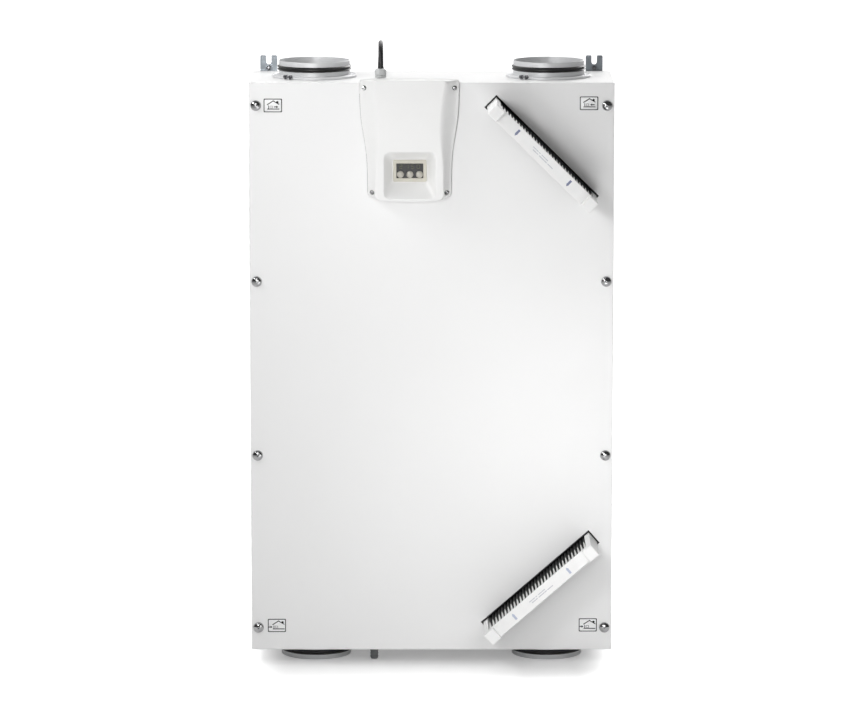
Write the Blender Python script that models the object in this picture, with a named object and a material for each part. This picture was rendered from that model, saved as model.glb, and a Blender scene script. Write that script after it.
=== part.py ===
"""Wall-hung heat recovery ventilation unit, standing upright on its two lower duct spigots.

+Z is up, the front cover faces -Y, and the origin is on the floor under the middle of the unit.
Places are written as (x, depth, up): depth runs back from the front cover's outer face, and up
runs from the cover's mid-height. world() turns them into world coordinates. Lengths are metres.
"""
import math

import bmesh
import bpy
from mathutils import Matrix, Vector

# ---------------------------------------------------------------- driving dimensions
GAP = 0.0003                       # clearance between neighbouring solids
PANEL_W, PANEL_H = 0.632, 1.000    # front cover
UNIT_DEPTH = 0.216                 # cover face to the back of the wall brackets
SHEET = 0.0015                     # steel sheet of casing and cover
COVER_FOLD = 0.0225                # depth of the cover's folded edge
SPIGOT_R, SPIGOT_OUT = 0.0618, 0.029
SPIGOT_X, SPIGOT_DEPTH = 0.2047, 0.112
SPIGOT_IN = 0.040                  # how far a collar reaches into the unit
DUCT_SIDES = 24                    # sides of the duct connections' round pieces
FILTER_L, FILTER_T, FILTER_D = 0.244, 0.023, 0.175
FILTER_BLOCK = (0.020, 0.015)      # length and height of the grips at a filter's ends
FILTER_OUT = 0.112                 # how far a filter stands out of the cover
SLOT_L, SLOT_T = 0.250, 0.030
BRACKET_T = 0.0025

FRONT_Y = (FILTER_OUT - UNIT_DEPTH) / 2
MID_Z = SPIGOT_OUT + PANEL_H / 2
HALF_W, HALF_H = PANEL_W / 2, PANEL_H / 2
CASING_BACK = UNIT_DEPTH - BRACKET_T - GAP
FLANGE_DEPTH = COVER_FOLD + 0.0008             # front of the casing's flange
FLANGE_W = 0.0215
FOAM_FRONT = FLANGE_DEPTH + SHEET + GAP
FOAM_BACK = CASING_BACK - SHEET - GAP
FOAM_WALL = 0.012
POCKET_FLOOR = 0.196                           # depth of the pockets' floor in the foam
POCKET_X = HALF_W - SHEET - GAP - FOAM_WALL
POCKET_Z = HALF_H - SHEET - GAP - FOAM_WALL

# filters: centre (x, up) and slope in degrees, falling to the right when positive
FILTERS = {"upper": (0.1906, 0.380, 44.6), "lower": (0.1906, -0.3795, -41.1)}
SCREW_X, SCREW_UPS = 0.3035, (-0.460, -0.1533, 0.1533, 0.460)

# counterflow exchanger: a hexagonal block
EXCHANGER_X, EXCHANGER_HALF_W = 0.079, 0.185
EXCHANGER_TIPS, EXCHANGER_SHOULDER = (-0.436, 0.455), 0.273
EXCHANGER_FRONT, EXCHANGER_BACK = FOAM_FRONT + 0.0022, 0.157
DIVIDER_T = 0.0055
CHANNEL_FRONT = EXCHANGER_BACK + DIVIDER_T + 2 * GAP
FACE_OFFSET = 0.0245                           # exchanger face to the filter's middle plane

# fans
FAN_X, FAN_UP, FAN_FRONT = -0.190, 0.352, 0.1077
SCROLL_R = (0.072, 0.090)
SCROLL_OUTLET = 0.088
SCROLL_WALL = 0.0022
IMPELLER_R, INLET_R, BLADES = 0.066, 0.045, 7

# control box: a shield-shaped housing in a notch of the cover
BOX_X, BOX_TOP, BOX_BOTTOM = -0.0382, 0.5076, 0.2936
BOX_SPLIT, BOX_FRONT = -0.0015, -0.0262       # where lid meets base; front of the lid's raised middle
BOARD_LEDGE = 0.0075                           # front of the ledge that the circuit board lies on
WELL_FLOOR = -0.0035                           # floor of the display's well in the lid
GLAND_X, GLAND_DEPTH, GLAND_TOP = -0.0878, 0.0095, 0.5237
DISPLAY_X, DISPLAY_UP = BOX_X + 0.0008, 0.3472
BUTTON_PITCH, BUTTON_UP, BUTTON_R = 0.0165, 0.3406, 0.0060

# condensate drain
DRAIN_X, DRAIN_DEPTH, DRAIN_END = -0.1012, 0.056, -0.5275

# power cord: 8 mm lead, from the gland over the top and down the back to a coil on the floor
CORD_R = 0.004
CORD_STEP = 0.023                  # spacing of the tube's points
COIL_R, COIL_HALF, COIL_DEPTH = 0.043, 0.0082, 0.320
FLOOR = -MID_Z
CORD_ROUTE = (                     # (depth, up) in the plane x = GLAND_X
    (GLAND_DEPTH, GLAND_TOP + 2 * GAP), (GLAND_DEPTH, 0.5363), (0.0145, 0.5520), (0.0285, 0.5635),
    (0.0450, 0.5650), (0.0610, 0.5570), (0.0740, 0.5400), (0.0860, 0.5210), (0.1010, 0.5085),
    (0.1200, 0.5045), (0.1500, 0.5043), (0.1950, 0.5043), (0.2160, 0.5043), (0.2350, 0.4970),
    (0.2460, 0.4800), (0.2475, 0.4550), (0.2450, 0.3500), (0.2400, 0.2000), (0.2360, 0.0500),
    (0.2330, -0.1500), (0.2320, -0.3500), (0.2330, -0.4600), (0.2360, -0.4950),
    (0.2490, -0.5170), (0.2700, -0.5245), (0.2865, -0.5248))


def world(x, depth, up):
    return Vector((x, FRONT_Y + depth, MID_Z + up))


# ---------------------------------------------------------------- scene and materials
for old in list(bpy.data.objects):
    bpy.data.objects.remove(old, do_unlink=True)


def material(name, color, roughness, metallic=0.0):
    mat = bpy.data.materials.new(name)
    mat.use_nodes = True
    shader = mat.node_tree.nodes["Principled BSDF"]
    shader.inputs["Base Color"].default_value = (*color, 1.0)
    shader.inputs["Roughness"].default_value = roughness
    shader.inputs["Metallic"].default_value = metallic
    mat.diffuse_color = (*color, 1.0)
    return mat


WHITE_PAINT = ("white powder coat", (0.86, 0.86, 0.86), 0.35, 0.0)
WHITE_PLASTIC = ("white plastic", (0.88, 0.88, 0.87), 0.4, 0.0)
GREY_PLASTIC = ("grey plastic", (0.62, 0.62, 0.60), 0.45, 0.0)
GALVANISED = ("galvanised steel", (0.62, 0.64, 0.66), 0.35, 1.0)
CHROME = ("polished steel", (0.75, 0.75, 0.76), 0.12, 1.0)
RUBBER = ("black rubber", (0.02, 0.02, 0.02), 0.6, 0.0)
FOAM = ("grey foam", (0.16, 0.17, 0.18), 0.9, 0.0)
DARK_PLASTIC = ("dark plastic", (0.05, 0.05, 0.055), 0.4, 0.0)
CARD = ("white card", (0.88, 0.88, 0.86), 0.8, 0.0)
PAPER = ("filter paper", (0.90, 0.90, 0.88), 0.9, 0.0)
FILM = ("exchanger film", (0.70, 0.75, 0.78), 0.4, 0.0)
BEZEL = ("bezel plastic", (0.74, 0.71, 0.64), 0.45, 0.0)
BOARD = ("circuit board", (0.03, 0.22, 0.10), 0.5, 0.0)
LEAD = ("lead sheath", (0.015, 0.015, 0.016), 0.45, 0.0)


# ---------------------------------------------------------------- mesh makers (local space)
def box_mesh(low, high):
    bm = bmesh.new()
    size = [high[i] - low[i] for i in range(3)]
    middle = [(high[i] + low[i]) / 2 for i in range(3)]
    bmesh.ops.create_cube(bm, size=1.0, matrix=Matrix.Translation(middle) @ Matrix.Diagonal((*size, 1)))
    return bm


def loft_mesh(rings):
    """A closed solid through rings of points that all have the same count."""
    bm = bmesh.new()
    rows = [[bm.verts.new(point) for point in ring] for ring in rings]
    count = len(rings[0])
    for lower, upper in zip(rows, rows[1:]):
        for i in range(count):
            j = (i + 1) % count
            bm.faces.new((lower[i], lower[j], upper[j], upper[i]))
    bm.faces.new(rows[0])
    bm.faces.new(rows[-1])
    return bm


def prism_mesh(outline, low, high, axis="Y"):
    """An outline extruded along Y (outline in x, z), along Z (in x, y)."""
    if axis == "Y":
        return loft_mesh([[(x, level, z) for x, z in outline] for level in (low, high)])
    return loft_mesh([[(x, y, level) for x, y in outline] for level in (low, high)])


def turned_mesh(profile, segments, axis="Z"):
    """A closed (radius, height) profile turned about an axis; points on the axis are shared."""
    bm = bmesh.new()
    columns = []
    for step in range(segments):
        angle = 2 * math.pi * step / segments
        column = []
        for index, (radius, height) in enumerate(profile):
            if radius == 0 and step:
                column.append(columns[0][index])
                continue
            flat = (radius * math.cos(angle), radius * math.sin(angle))
            point = (*flat, height) if axis == "Z" else (flat[0], height, flat[1])
            column.append(bm.verts.new(point))
        columns.append(column)
    for step in range(segments):
        here, there = columns[step], columns[(step + 1) % segments]
        for i in range(len(profile)):
            j = (i + 1) % len(profile)
            corners = list(dict.fromkeys((here[i], here[j], there[j], there[i])))
            if len(corners) > 2:
                bm.faces.new(corners)
    return bm


def rod_mesh(radius, low, high, segments, axis="Y", places=((0, 0),)):
    """One or more parallel rods; places are their centres across the axis."""
    bm = bmesh.new()
    for a, b in places:
        rod = turned_mesh(((0, low), (radius, low), (radius, high), (0, high)), segments, axis)
        move = (a, 0, b) if axis == "Y" else (a, b, 0)
        rod.transform(Matrix.Translation(move))
        merge_into(bm, rod)
    return bm


def merge_into(bm, other):
    mesh = bpy.data.meshes.new("merge")
    other.to_mesh(mesh)
    other.free()
    bm.from_mesh(mesh)
    bpy.data.meshes.remove(mesh)


# ---------------------------------------------------------------- objects
def add(name, bm, finish=None, place=(0, 0, 0), slope=0.0, smooth=None):
    """A named object from a mesh; without a finish it is a hidden cutter."""
    bmesh.ops.recalc_face_normals(bm, faces=bm.faces)
    mesh = bpy.data.meshes.new(name)
    bm.to_mesh(mesh)
    bm.free()
    if smooth is not None:
        mesh.shade_smooth()
        mesh.set_sharp_from_angle(angle=math.radians(smooth))
    obj = bpy.data.objects.new(name, mesh)
    bpy.context.collection.objects.link(obj)
    obj.location = world(*place)
    obj.rotation_euler = (0, math.radians(slope), 0)
    if finish is None:
        obj.hide_render = True
        obj.display_type = "WIRE"
    else:
        mesh.materials.append(material(name + " " + finish[0], *finish[1:]))
    return obj


def copy_of(obj, name, place, flip=False):
    """Another object on the same mesh; flip turns it upside down about X."""
    twin = bpy.data.objects.new(name, obj.data)
    bpy.context.collection.objects.link(twin)
    twin.location = world(*place)
    twin.rotation_euler = (math.pi if flip else 0, 0, 0)
    return twin


def combine(obj, tool, operation="DIFFERENCE"):
    modifier = obj.modifiers.new(operation.lower(), "BOOLEAN")
    modifier.operation = operation
    modifier.solver = "EXACT"
    modifier.object = tool
    return obj


def pivot(name, place, pieces):
    """An empty on a joint's axis, with the moving pieces as its children."""
    empty = bpy.data.objects.new(name + "_pivot", None)
    empty.location = world(*place)
    bpy.context.collection.objects.link(empty)
    bpy.context.view_layer.update()
    for piece in pieces:
        piece.parent = empty
        piece.matrix_parent_inverse = empty.matrix_world.inverted()


def slot_cutters():
    """The two sloping filter slots, through the cover and its insulation."""
    half_l, half_t = SLOT_L / 2, SLOT_T / 2
    return [add(f"{name}_slot_cutter", box_mesh((-half_l, -0.01, -half_t), (half_l, 0.05, half_t)),
                place=(x, 0, up), slope=slope) for name, (x, up, slope) in FILTERS.items()]


def screw_holes(name, radius, low, high, segments):
    places = [(side * SCREW_X, up) for side in (-1, 1) for up in SCREW_UPS]
    return add(name, rod_mesh(radius, low, high, segments, "Y", places))


# ---------------------------------------------------------------- control box outline
def outer_half(up):
    """Half width of the shield at a height: wide at the top, narrower below an S-curve."""
    return 0.079 + 0.007 * math.tanh((up - 0.408) / 0.040)


def crown_half(up):
    """Half width of the raised middle of the lid."""
    rise = up - 0.4177
    if rise > 0:
        return 0.0545 + 0.0105 * (rise / 0.087) ** 2
    return 0.0545 + 0.0055 * (1 - math.exp(-(rise / 0.045) ** 2))


def bend(start, corner, end, steps):
    """A rounded corner: points of a quadratic curve, both ends included."""
    points = []
    for i in range(steps + 1):
        t = i / steps
        points.append(tuple((1 - t) ** 2 * start[k] + 2 * t * (1 - t) * corner[k] + t * t * end[k]
                            for k in range(2)))
    return points


def shield(inset=0.0, half=outer_half, rounding=0.012):
    """The control box's outline (x, up), about the box's own middle."""
    def top(x):
        return BOX_TOP - inset - 0.0050 * (x / 0.086) ** 2

    def bottom(x):
        return BOX_BOTTOM + inset + 0.006 * (x / 0.072) ** 2

    def side(up):
        return half(up) - inset

    small = 0.35 * rounding
    corner_x, low_x = side(BOX_TOP), side(BOX_BOTTOM)
    high, low = top(corner_x) - small, bottom(low_x) + rounding
    right = [(corner_x * 0.4, top(corner_x * 0.4))]
    right += bend((corner_x - small, top(corner_x - small)), (corner_x, top(corner_x)),
                  (side(high), high), 2)
    right += [(side(high + (low - high) * i / 8), high + (low - high) * i / 8) for i in range(1, 8)]
    right += bend((side(low), low), (low_x, bottom(low_x)), (low_x - rounding, bottom(low_x - rounding)), 3)
    right += [(low_x * 0.45, bottom(low_x * 0.45))]
    return right + [(-x, up) for x, up in reversed(right)]


# ---------------------------------------------------------------- casing, foam body, cover
def casing():
    shell = add("casing_shell", box_mesh((-HALF_W, FLANGE_DEPTH, -HALF_H), (HALF_W, CASING_BACK, HALF_H)),
                WHITE_PAINT)
    inner_x, inner_z = HALF_W - SHEET, HALF_H - SHEET
    combine(shell, add("casing_hollow", box_mesh((-inner_x, FLANGE_DEPTH + SHEET, -inner_z),
                                                 (inner_x, CASING_BACK - SHEET, inner_z))))
    open_x, open_z = HALF_W - FLANGE_W, HALF_H - FLANGE_W
    combine(shell, add("casing_mouth", box_mesh((-open_x, 0, -open_z), (open_x, 0.06, open_z))))
    combine(shell, screw_holes("casing_screw_holes", 0.004, 0.02, 0.03, 8))
    for side in (-1, 1):
        combine(shell, add("casing_duct_holes", rod_mesh(SPIGOT_R + 0.0006, -0.6, 0.6, DUCT_SIDES, "Z"),
                           place=(side * SPIGOT_X, SPIGOT_DEPTH, 0)))
    return combine(shell, add("casing_drain_hole", rod_mesh(0.0078, -0.52, -0.49, 12, "Z"),
                              place=(DRAIN_X, DRAIN_DEPTH, 0)))


def hexagon(grow=0.0):
    half = EXCHANGER_HALF_W + grow
    bottom, top = EXCHANGER_TIPS[0] - grow, EXCHANGER_TIPS[1] + grow
    shoulder = EXCHANGER_SHOULDER
    return [(EXCHANGER_X, top), (EXCHANGER_X + half, shoulder), (EXCHANGER_X + half, -shoulder),
            (EXCHANGER_X, bottom), (EXCHANGER_X - half, -shoulder), (EXCHANGER_X - half, shoulder)]


def along(name, run, rise):
    """A point (x, up) measured along a filter's slope and square to it."""
    x, up, slope = FILTERS[name]
    c, s = math.cos(math.radians(slope)), math.sin(math.radians(slope))
    return (x + run * c + rise * s, up - run * s + rise * c)


def foam_body():
    half_x, half_z = HALF_W - SHEET - GAP, HALF_H - SHEET - GAP
    foam = add("foam_body", box_mesh((-half_x, FOAM_FRONT, -half_z), (half_x, FOAM_BACK, half_z)), FOAM)
    left = EXCHANGER_X - EXCHANGER_HALF_W - 0.003
    far, tall = POCKET_X, POCKET_Z
    fan_low = 0.215
    top_tip, bottom_tip = EXCHANGER_TIPS[1] + 0.003, EXCHANGER_TIPS[0] - 0.003
    pockets = {
        "exchanger_bay": (hexagon(0.003), CHANNEL_FRONT),
        "bypass_channel": ([(EXCHANGER_X, EXCHANGER_TIPS[1]),
                            (EXCHANGER_X + EXCHANGER_HALF_W, EXCHANGER_SHOULDER),
                            (EXCHANGER_X, EXCHANGER_TIPS[0]),
                            (EXCHANGER_X - EXCHANGER_HALF_W, -EXCHANGER_SHOULDER)], POCKET_FLOOR),
        "upper_fan_bay": ([(-far, fan_low), (left, fan_low), (left, EXCHANGER_SHOULDER),
                           (EXCHANGER_X, top_tip), (EXCHANGER_X, tall), (-far, tall)], POCKET_FLOOR),
        "lower_fan_bay": ([(-far, -fan_low), (left, -fan_low), (left, -EXCHANGER_SHOULDER),
                           (EXCHANGER_X, bottom_tip), (EXCHANGER_X, -tall), (-far, -tall)], POCKET_FLOOR),
        "upper_filter_chamber": ([along("upper", -0.098, 0.010), (0.1211, tall), (far, tall),
                                  (far, 0.300), along("upper", 0.110, 0.010)], POCKET_FLOOR),
        "lower_filter_chamber": ([along("lower", -0.104, -0.010), (0.1160, -tall), (far, -tall),
                                  (far, -0.305), along("lower", 0.110, -0.010)], POCKET_FLOOR)}
    for name, (outline, floor) in pockets.items():
        combine(foam, add(name + "_cutter", prism_mesh(outline, 0.0, floor)))
    for name, (x, up, slope) in FILTERS.items():
        inner = -1 if name == "upper" else 1
        guide = box_mesh((-0.1227, 0.0, -0.0122), (0.1227, POCKET_FLOOR, 0.0122))
        combine(foam, add(name + "_filter_guide", guide, place=(x, 0, up), slope=slope))
        low, high = sorted((inner * 0.010, inner * (FACE_OFFSET + 0.002)))
        air = box_mesh((-0.112, 0.0, low), (0.112, POCKET_FLOOR, high))
        combine(foam, add(name + "_filter_air_gap", air, place=(x, 0, up), slope=slope))
    for side in (-1, 1):
        combine(foam, add("foam_duct_holes", rod_mesh(SPIGOT_R + 0.0004, -0.55, -0.44, DUCT_SIDES, "Z"),
                          place=(side * SPIGOT_X, SPIGOT_DEPTH, 0)))
        combine(foam, add("foam_duct_holes_top", rod_mesh(SPIGOT_R + 0.0004, 0.455, 0.55, DUCT_SIDES, "Z"),
                          place=(side * SPIGOT_X, SPIGOT_DEPTH, 0)))
    return combine(foam, add("foam_drain_hole", rod_mesh(0.0077, -0.55, -0.47, 12, "Z"),
                             place=(DRAIN_X, DRAIN_DEPTH, 0)))


def notch_cutter():
    """The cover's opening round the control box, open at the top edge."""
    outline = [(x, up if up < 0.495 else 0.53) for x, up in shield(-0.001)]
    return add("control_box_notch", prism_mesh(outline, -0.01, 0.05), place=(BOX_X, 0, 0))


def front_cover():
    notch, slots = notch_cutter(), slot_cutters()
    panel = add("front_panel", box_mesh((-HALF_W, 0, -HALF_H), (HALF_W, COVER_FOLD, HALF_H)), WHITE_PAINT)
    inner_x, inner_z = HALF_W - SHEET, HALF_H - SHEET
    combine(panel, add("panel_hollow", box_mesh((-inner_x, SHEET, -inner_z), (inner_x, 0.05, inner_z))))
    slab = add("cover_insulation", box_mesh((-inner_x + GAP, SHEET + GAP, -inner_z + GAP),
                                            (inner_x - GAP, COVER_FOLD, inner_z - GAP)), FOAM)
    combine(panel, screw_holes("panel_screw_holes", 0.0035, -0.01, 0.01, 12))
    combine(slab, screw_holes("slab_screw_holes", 0.004, -0.01, 0.05, 8))
    for shell in (panel, slab):
        for tool in (notch, *slots):
            combine(shell, tool)
    pieces = [panel, slab]
    for name, (x, up, slope) in FILTERS.items():
        half_l, half_t = SLOT_L / 2 - GAP, SLOT_T / 2 - GAP
        gasket = add(f"{name}_slot_gasket", box_mesh((-half_l, 0, -half_t), (half_l, 0.0215, half_t)),
                     RUBBER, place=(x, 0, up), slope=slope)
        clear_l, clear_t = FILTER_L / 2 + 0.0005, FILTER_T / 2 + 0.0005
        hole = add(f"{name}_gasket_hole", box_mesh((-clear_l, -0.01, -clear_t), (clear_l, 0.05, clear_t)),
                   place=(x, 0, up), slope=slope)
        pieces.append(combine(gasket, hole))
    return pieces + cover_screws()


def cover_screws():
    """Eight captive dome-headed screws; their shanks reach the casing's flange."""
    head_r, head_h, shank_r = 0.0092, 0.0062, 0.0028
    dome = [(head_r * math.sin(math.radians(a)), -GAP - head_h * math.cos(math.radians(a)))
            for a in (25, 50, 72, 90)]
    profile = [(0, 0.0245), (shank_r, 0.0245), (shank_r, -GAP), *reversed(dome), (0, dome[0][1])]
    screws = []
    for side, word in ((-1, "left"), (1, "right")):
        for number, up in enumerate(reversed(SCREW_UPS), 1):
            name, place = f"cover_screw_{word}_{number}", (side * SCREW_X, 0, up)
            if screws:
                screws.append(copy_of(screws[0], name, place))
            else:
                screws.append(add(name, turned_mesh(profile, 12, "Y"), CHROME, place, smooth=50))
    return screws


# ---------------------------------------------------------------- exchanger and bypass
def exchanger():
    plate = 0.002
    front, back = EXCHANGER_FRONT, EXCHANGER_BACK
    add("exchanger_front_plate", prism_mesh(hexagon(), front, front + plate), GREY_PLASTIC)
    add("exchanger_core", prism_mesh(hexagon(-0.0005), front + plate + GAP, back - plate - GAP), FILM)
    add("exchanger_rear_plate", prism_mesh(hexagon(), back - plate, back), GREY_PLASTIC)
    add("bypass_divider", prism_mesh(hexagon(0.0022), back + GAP, back + GAP + DIVIDER_T), FOAM)
    near, far, thick = front - 0.0018, 0.100, 0.0012
    left, right = EXCHANGER_X - EXCHANGER_HALF_W - GAP, EXCHANGER_X + EXCHANGER_HALF_W + GAP
    band = [(left - thick, near), (right + thick, near), (right + thick, far), (right, far),
            (right, near + thick), (left, near + thick), (left, far), (left - thick, far)]
    add("exchanger_strap", prism_mesh(band, -0.015, 0.015, "Z"), DARK_PLASTIC)


def bypass():
    """Flap in the channel behind the exchanger, and the actuator at its lower end."""
    slope = FILTERS["upper"][2]
    shaft_r, half, width = 0.0025, 0.095, 0.028
    hinge = along("upper", 0.0, -(FACE_OFFSET + 0.0045))
    depth = CHANNEL_FRONT + 0.004
    place = (hinge[0], depth, hinge[1])
    flap = add("bypass_flap", box_mesh((-half, 0, -0.00125), (half, width, 0.00125)),
               GREY_PLASTIC, place=place, slope=slope)
    shaft = rod_mesh(shaft_r, -half - 0.005, half + 0.009, 10, "Z")
    shaft.transform(Matrix.Rotation(math.pi / 2, 4, "Y"))
    combine(flap, add("bypass_shaft", shaft, place=place, slope=slope), "UNION")
    housing = box_mesh((half + 0.0035, -0.0035, -0.032), (half + 0.024, 0.0286, 0.003))
    actuator = add("bypass_actuator", housing, DARK_PLASTIC, place=place, slope=slope)
    socket = rod_mesh(shaft_r + 0.0004, half, half + 0.012, 10, "Z")
    socket.transform(Matrix.Rotation(math.pi / 2, 4, "Y"))
    combine(actuator, add("actuator_socket", socket, place=place, slope=slope))
    pivot("bypass_flap", place, [flap])


# ---------------------------------------------------------------- fans
def scroll_outline(shrink, outlet):
    """Spiral from the tongue at the top, round to the outlet duct on the left."""
    turn = 16
    points = []
    for i in range(turn + 1):
        angle = math.radians(90 - 270 * i / turn)
        radius = SCROLL_R[0] + (SCROLL_R[1] - SCROLL_R[0]) * i / turn - shrink
        points.append((radius * math.cos(angle), radius * math.sin(angle)))
    points.append((-SCROLL_R[1] + shrink, outlet))
    points.append((-shrink, outlet))
    if shrink:
        points.append((-shrink, SCROLL_R[0] - shrink))
    return points


def impeller(name, place):
    back, front = FAN_FRONT + 0.0750, FAN_FRONT + 0.0100
    hub_r, bore_r, disc = 0.024, 0.0046, 0.0018
    base = ((bore_r, front + 0.022), (hub_r, front + 0.022), (hub_r, back - disc),
            (IMPELLER_R, back - disc), (IMPELLER_R, back), (bore_r, back))
    wheel = add(name, turned_mesh(base, 20, "Y"), GREY_PLASTIC, place, smooth=40)
    blades = bmesh.new()
    for number in range(BLADES):
        sides = [[], []]
        for i in range(3):
            radius = 0.036 + (IMPELLER_R - 0.002 - 0.036) * i / 2
            angle = 2 * math.pi * number / BLADES + math.radians(38) * i / 2
            for k, shift in enumerate((-0.0008, 0.0008)):
                turned = angle + shift / radius
                sides[k].append((radius * math.cos(turned), radius * math.sin(turned)))
        merge_into(blades, prism_mesh(sides[0] + sides[1][::-1], front + 0.0012, back - disc + 0.0006))
    combine(wheel, add(name + "_blades", blades, place=place), "UNION")
    ring = ((INLET_R - 0.002, front), (IMPELLER_R, front + 0.004), (IMPELLER_R, front + 0.0058),
            (INLET_R - 0.002, front + 0.0018))
    combine(wheel, add(name + "_shroud", turned_mesh(ring, 20, "Y"), place=place), "UNION")
    pivot(name, place, [wheel])


def fan(word, sign):
    """Scroll housing with its inlet in front, motor on the back wall, and the impeller."""
    place = (FAN_X, 0, sign * FAN_UP)
    back = POCKET_FLOOR - GAP
    outer = [(x, sign * z) for x, z in scroll_outline(0, SCROLL_OUTLET)]
    inner = [(x, sign * z) for x, z in scroll_outline(SCROLL_WALL, SCROLL_OUTLET + 0.01)]
    scroll = add(f"{word}_fan_scroll", prism_mesh(outer, FAN_FRONT, back), DARK_PLASTIC, place)
    combine(scroll, add(f"{word}_scroll_hollow",
                        prism_mesh(inner, FAN_FRONT + SCROLL_WALL, back - SCROLL_WALL), place=place))
    combine(scroll, add(f"{word}_scroll_inlet", rod_mesh(INLET_R, 0.09, FAN_FRONT + 0.01, 20), place=place))
    seat = back - SCROLL_WALL - GAP
    profile = ((0, FAN_FRONT + 0.036), (0.0042, FAN_FRONT + 0.036), (0.0042, seat - 0.008),
               (0.033, seat - 0.008), (0.036, seat - 0.004), (0.036, seat), (0, seat))
    add(f"{word}_fan_motor", turned_mesh(profile, 16, "Y"), GALVANISED, place, smooth=40)
    impeller(f"{word}_fan_impeller", place)


# ---------------------------------------------------------------- filters
def filter_cassette(name):
    x, up, slope = FILTERS[name]
    place = (x, 0, up)
    grip_l, grip_h = FILTER_BLOCK
    half_l, half_t = FILTER_L / 2, FILTER_T / 2
    tip = -FILTER_OUT
    face = tip + grip_h
    rear = face + FILTER_D
    side, bar = 0.010, 0.004
    outline = [(-half_l, tip), (-half_l + grip_l, tip), (-half_l + grip_l, face), (half_l - grip_l, face),
               (half_l - grip_l, tip), (half_l, tip), (half_l, rear), (-half_l, rear)]
    frame = add(f"{name}_filter_frame", prism_mesh(outline, -half_t, half_t, "Z"), CARD, place, slope)
    window = box_mesh((-half_l + side, face + bar, -0.02), (half_l - side, rear - bar, 0.02))
    combine(frame, add(f"{name}_filter_window", window, place=place, slope=slope))
    folds, sheet = 12, 0.0018
    reach, tall = half_l - side - GAP, half_t - 0.0015 - sheet
    ridge = [(-reach + 2 * reach * i / (2 * folds), tall if i % 2 else -tall) for i in range(2 * folds + 1)]
    pleats = [(u, n + sheet) for u, n in ridge] + [(u, n - sheet) for u, n in reversed(ridge)]
    folded = prism_mesh(pleats, face + bar + GAP, rear - bar - GAP)
    pack = add(f"{name}_filter_pleats", folded, PAPER, place, slope)
    pivot(f"{name}_filter", (x, tip, up), [frame, pack])


# ---------------------------------------------------------------- spigots, brackets, drain
def spigots():
    """Collar, lip seal and clamp ring for each of the four duct connections."""
    bore, outside = SPIGOT_R - 0.0018, SPIGOT_R + GAP
    parts = {
        "duct_collar": (GALVANISED, ((bore, -SPIGOT_IN), (SPIGOT_R, -SPIGOT_IN), (SPIGOT_R, SPIGOT_OUT),
                                     (bore, SPIGOT_OUT))),
        "lip_seal": (RUBBER, ((outside, 0.0117), (SPIGOT_R + 0.0028, 0.0145), (SPIGOT_R + 0.0028, 0.0185),
                              (outside, 0.0205))),
        "clamp_ring": (GALVANISED, ((outside, GAP), (0.0738, GAP), (0.0738, 0.0042), (outside, 0.0042)))}
    for part, (finish, profile) in parts.items():
        first = None
        for height, flip in (("upper", False), ("lower", True)):
            for side, word in ((-1, "left"), (1, "right")):
                name = f"{height}_{word}_{part}"
                place = (side * SPIGOT_X, SPIGOT_DEPTH, -HALF_H if flip else HALF_H)
                if first:
                    copy_of(first, name, place, flip)
                else:
                    first = add(name, turned_mesh(profile, DUCT_SIDES), finish, place, smooth=40)


def brackets():
    """Flat wall brackets on the casing's back, each with a slot open at the top."""
    half, low, high, slot_r, slot_up = 0.015, 0.425, 0.5273, 0.0048, 0.5156
    x = 0.2878
    arc = [(slot_r * math.cos(math.radians(a)), slot_up - slot_r * math.sin(math.radians(a)))
           for a in range(0, 181, 30)]
    outline = [(-half, low), (half, low), (half, high), (slot_r, high), *arc, (-slot_r, high), (-half, high)]
    mesh = prism_mesh(outline, UNIT_DEPTH - BRACKET_T, UNIT_DEPTH)
    left = add("left_wall_bracket", mesh, GALVANISED, (-x, 0, 0))
    copy_of(left, "right_wall_bracket", (x, 0, 0))


def drain():
    low, high = (-0.1135, 0.030, -POCKET_Z + GAP), (0.070, 0.190, -0.470)
    wall = 0.002
    tray = add("condensate_tray", box_mesh(low, high), DARK_PLASTIC)
    hollow = box_mesh((low[0] + wall, low[1] + wall, low[2] + wall),
                      (high[0] - wall, high[1] - wall, high[2] + wall))
    combine(tray, add("tray_hollow", hollow))
    outlet = rod_mesh(0.0055, -0.50, -0.475, 12, "Z")
    combine(tray, add("tray_outlet", outlet, place=(DRAIN_X, DRAIN_DEPTH, 0)))
    top = -POCKET_Z - GAP
    pipe = ((0.0055, DRAIN_END), (0.0073, DRAIN_END), (0.0073, top), (0.0055, top))
    add("drain_pipe", turned_mesh(pipe, 16), GREY_PLASTIC, (DRAIN_X, DRAIN_DEPTH, 0), smooth=40)


# ---------------------------------------------------------------- control box
def control_box():
    place = (BOX_X, 0, 0)
    ledge, floor = BOARD_LEDGE, COVER_FOLD - 0.002
    base = add("control_box_base", prism_mesh(shield(GAP), BOX_SPLIT, COVER_FOLD), WHITE_PLASTIC, place)
    combine(base, add("base_hollow", prism_mesh(shield(0.003), BOX_SPLIT - 0.01, ledge), place=place))
    combine(base, add("base_well", prism_mesh(shield(0.006), BOX_SPLIT - 0.01, floor), place=place))
    combine(base, add("gland_hole", rod_mesh(0.0064, 0.49, 0.53, 12, "Z"), place=(GLAND_X, GLAND_DEPTH, 0)))
    add("circuit_board", prism_mesh(shield(0.0034), ledge - GAP - 0.0016, ledge - GAP), BOARD, place)
    lid()
    display()


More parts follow.
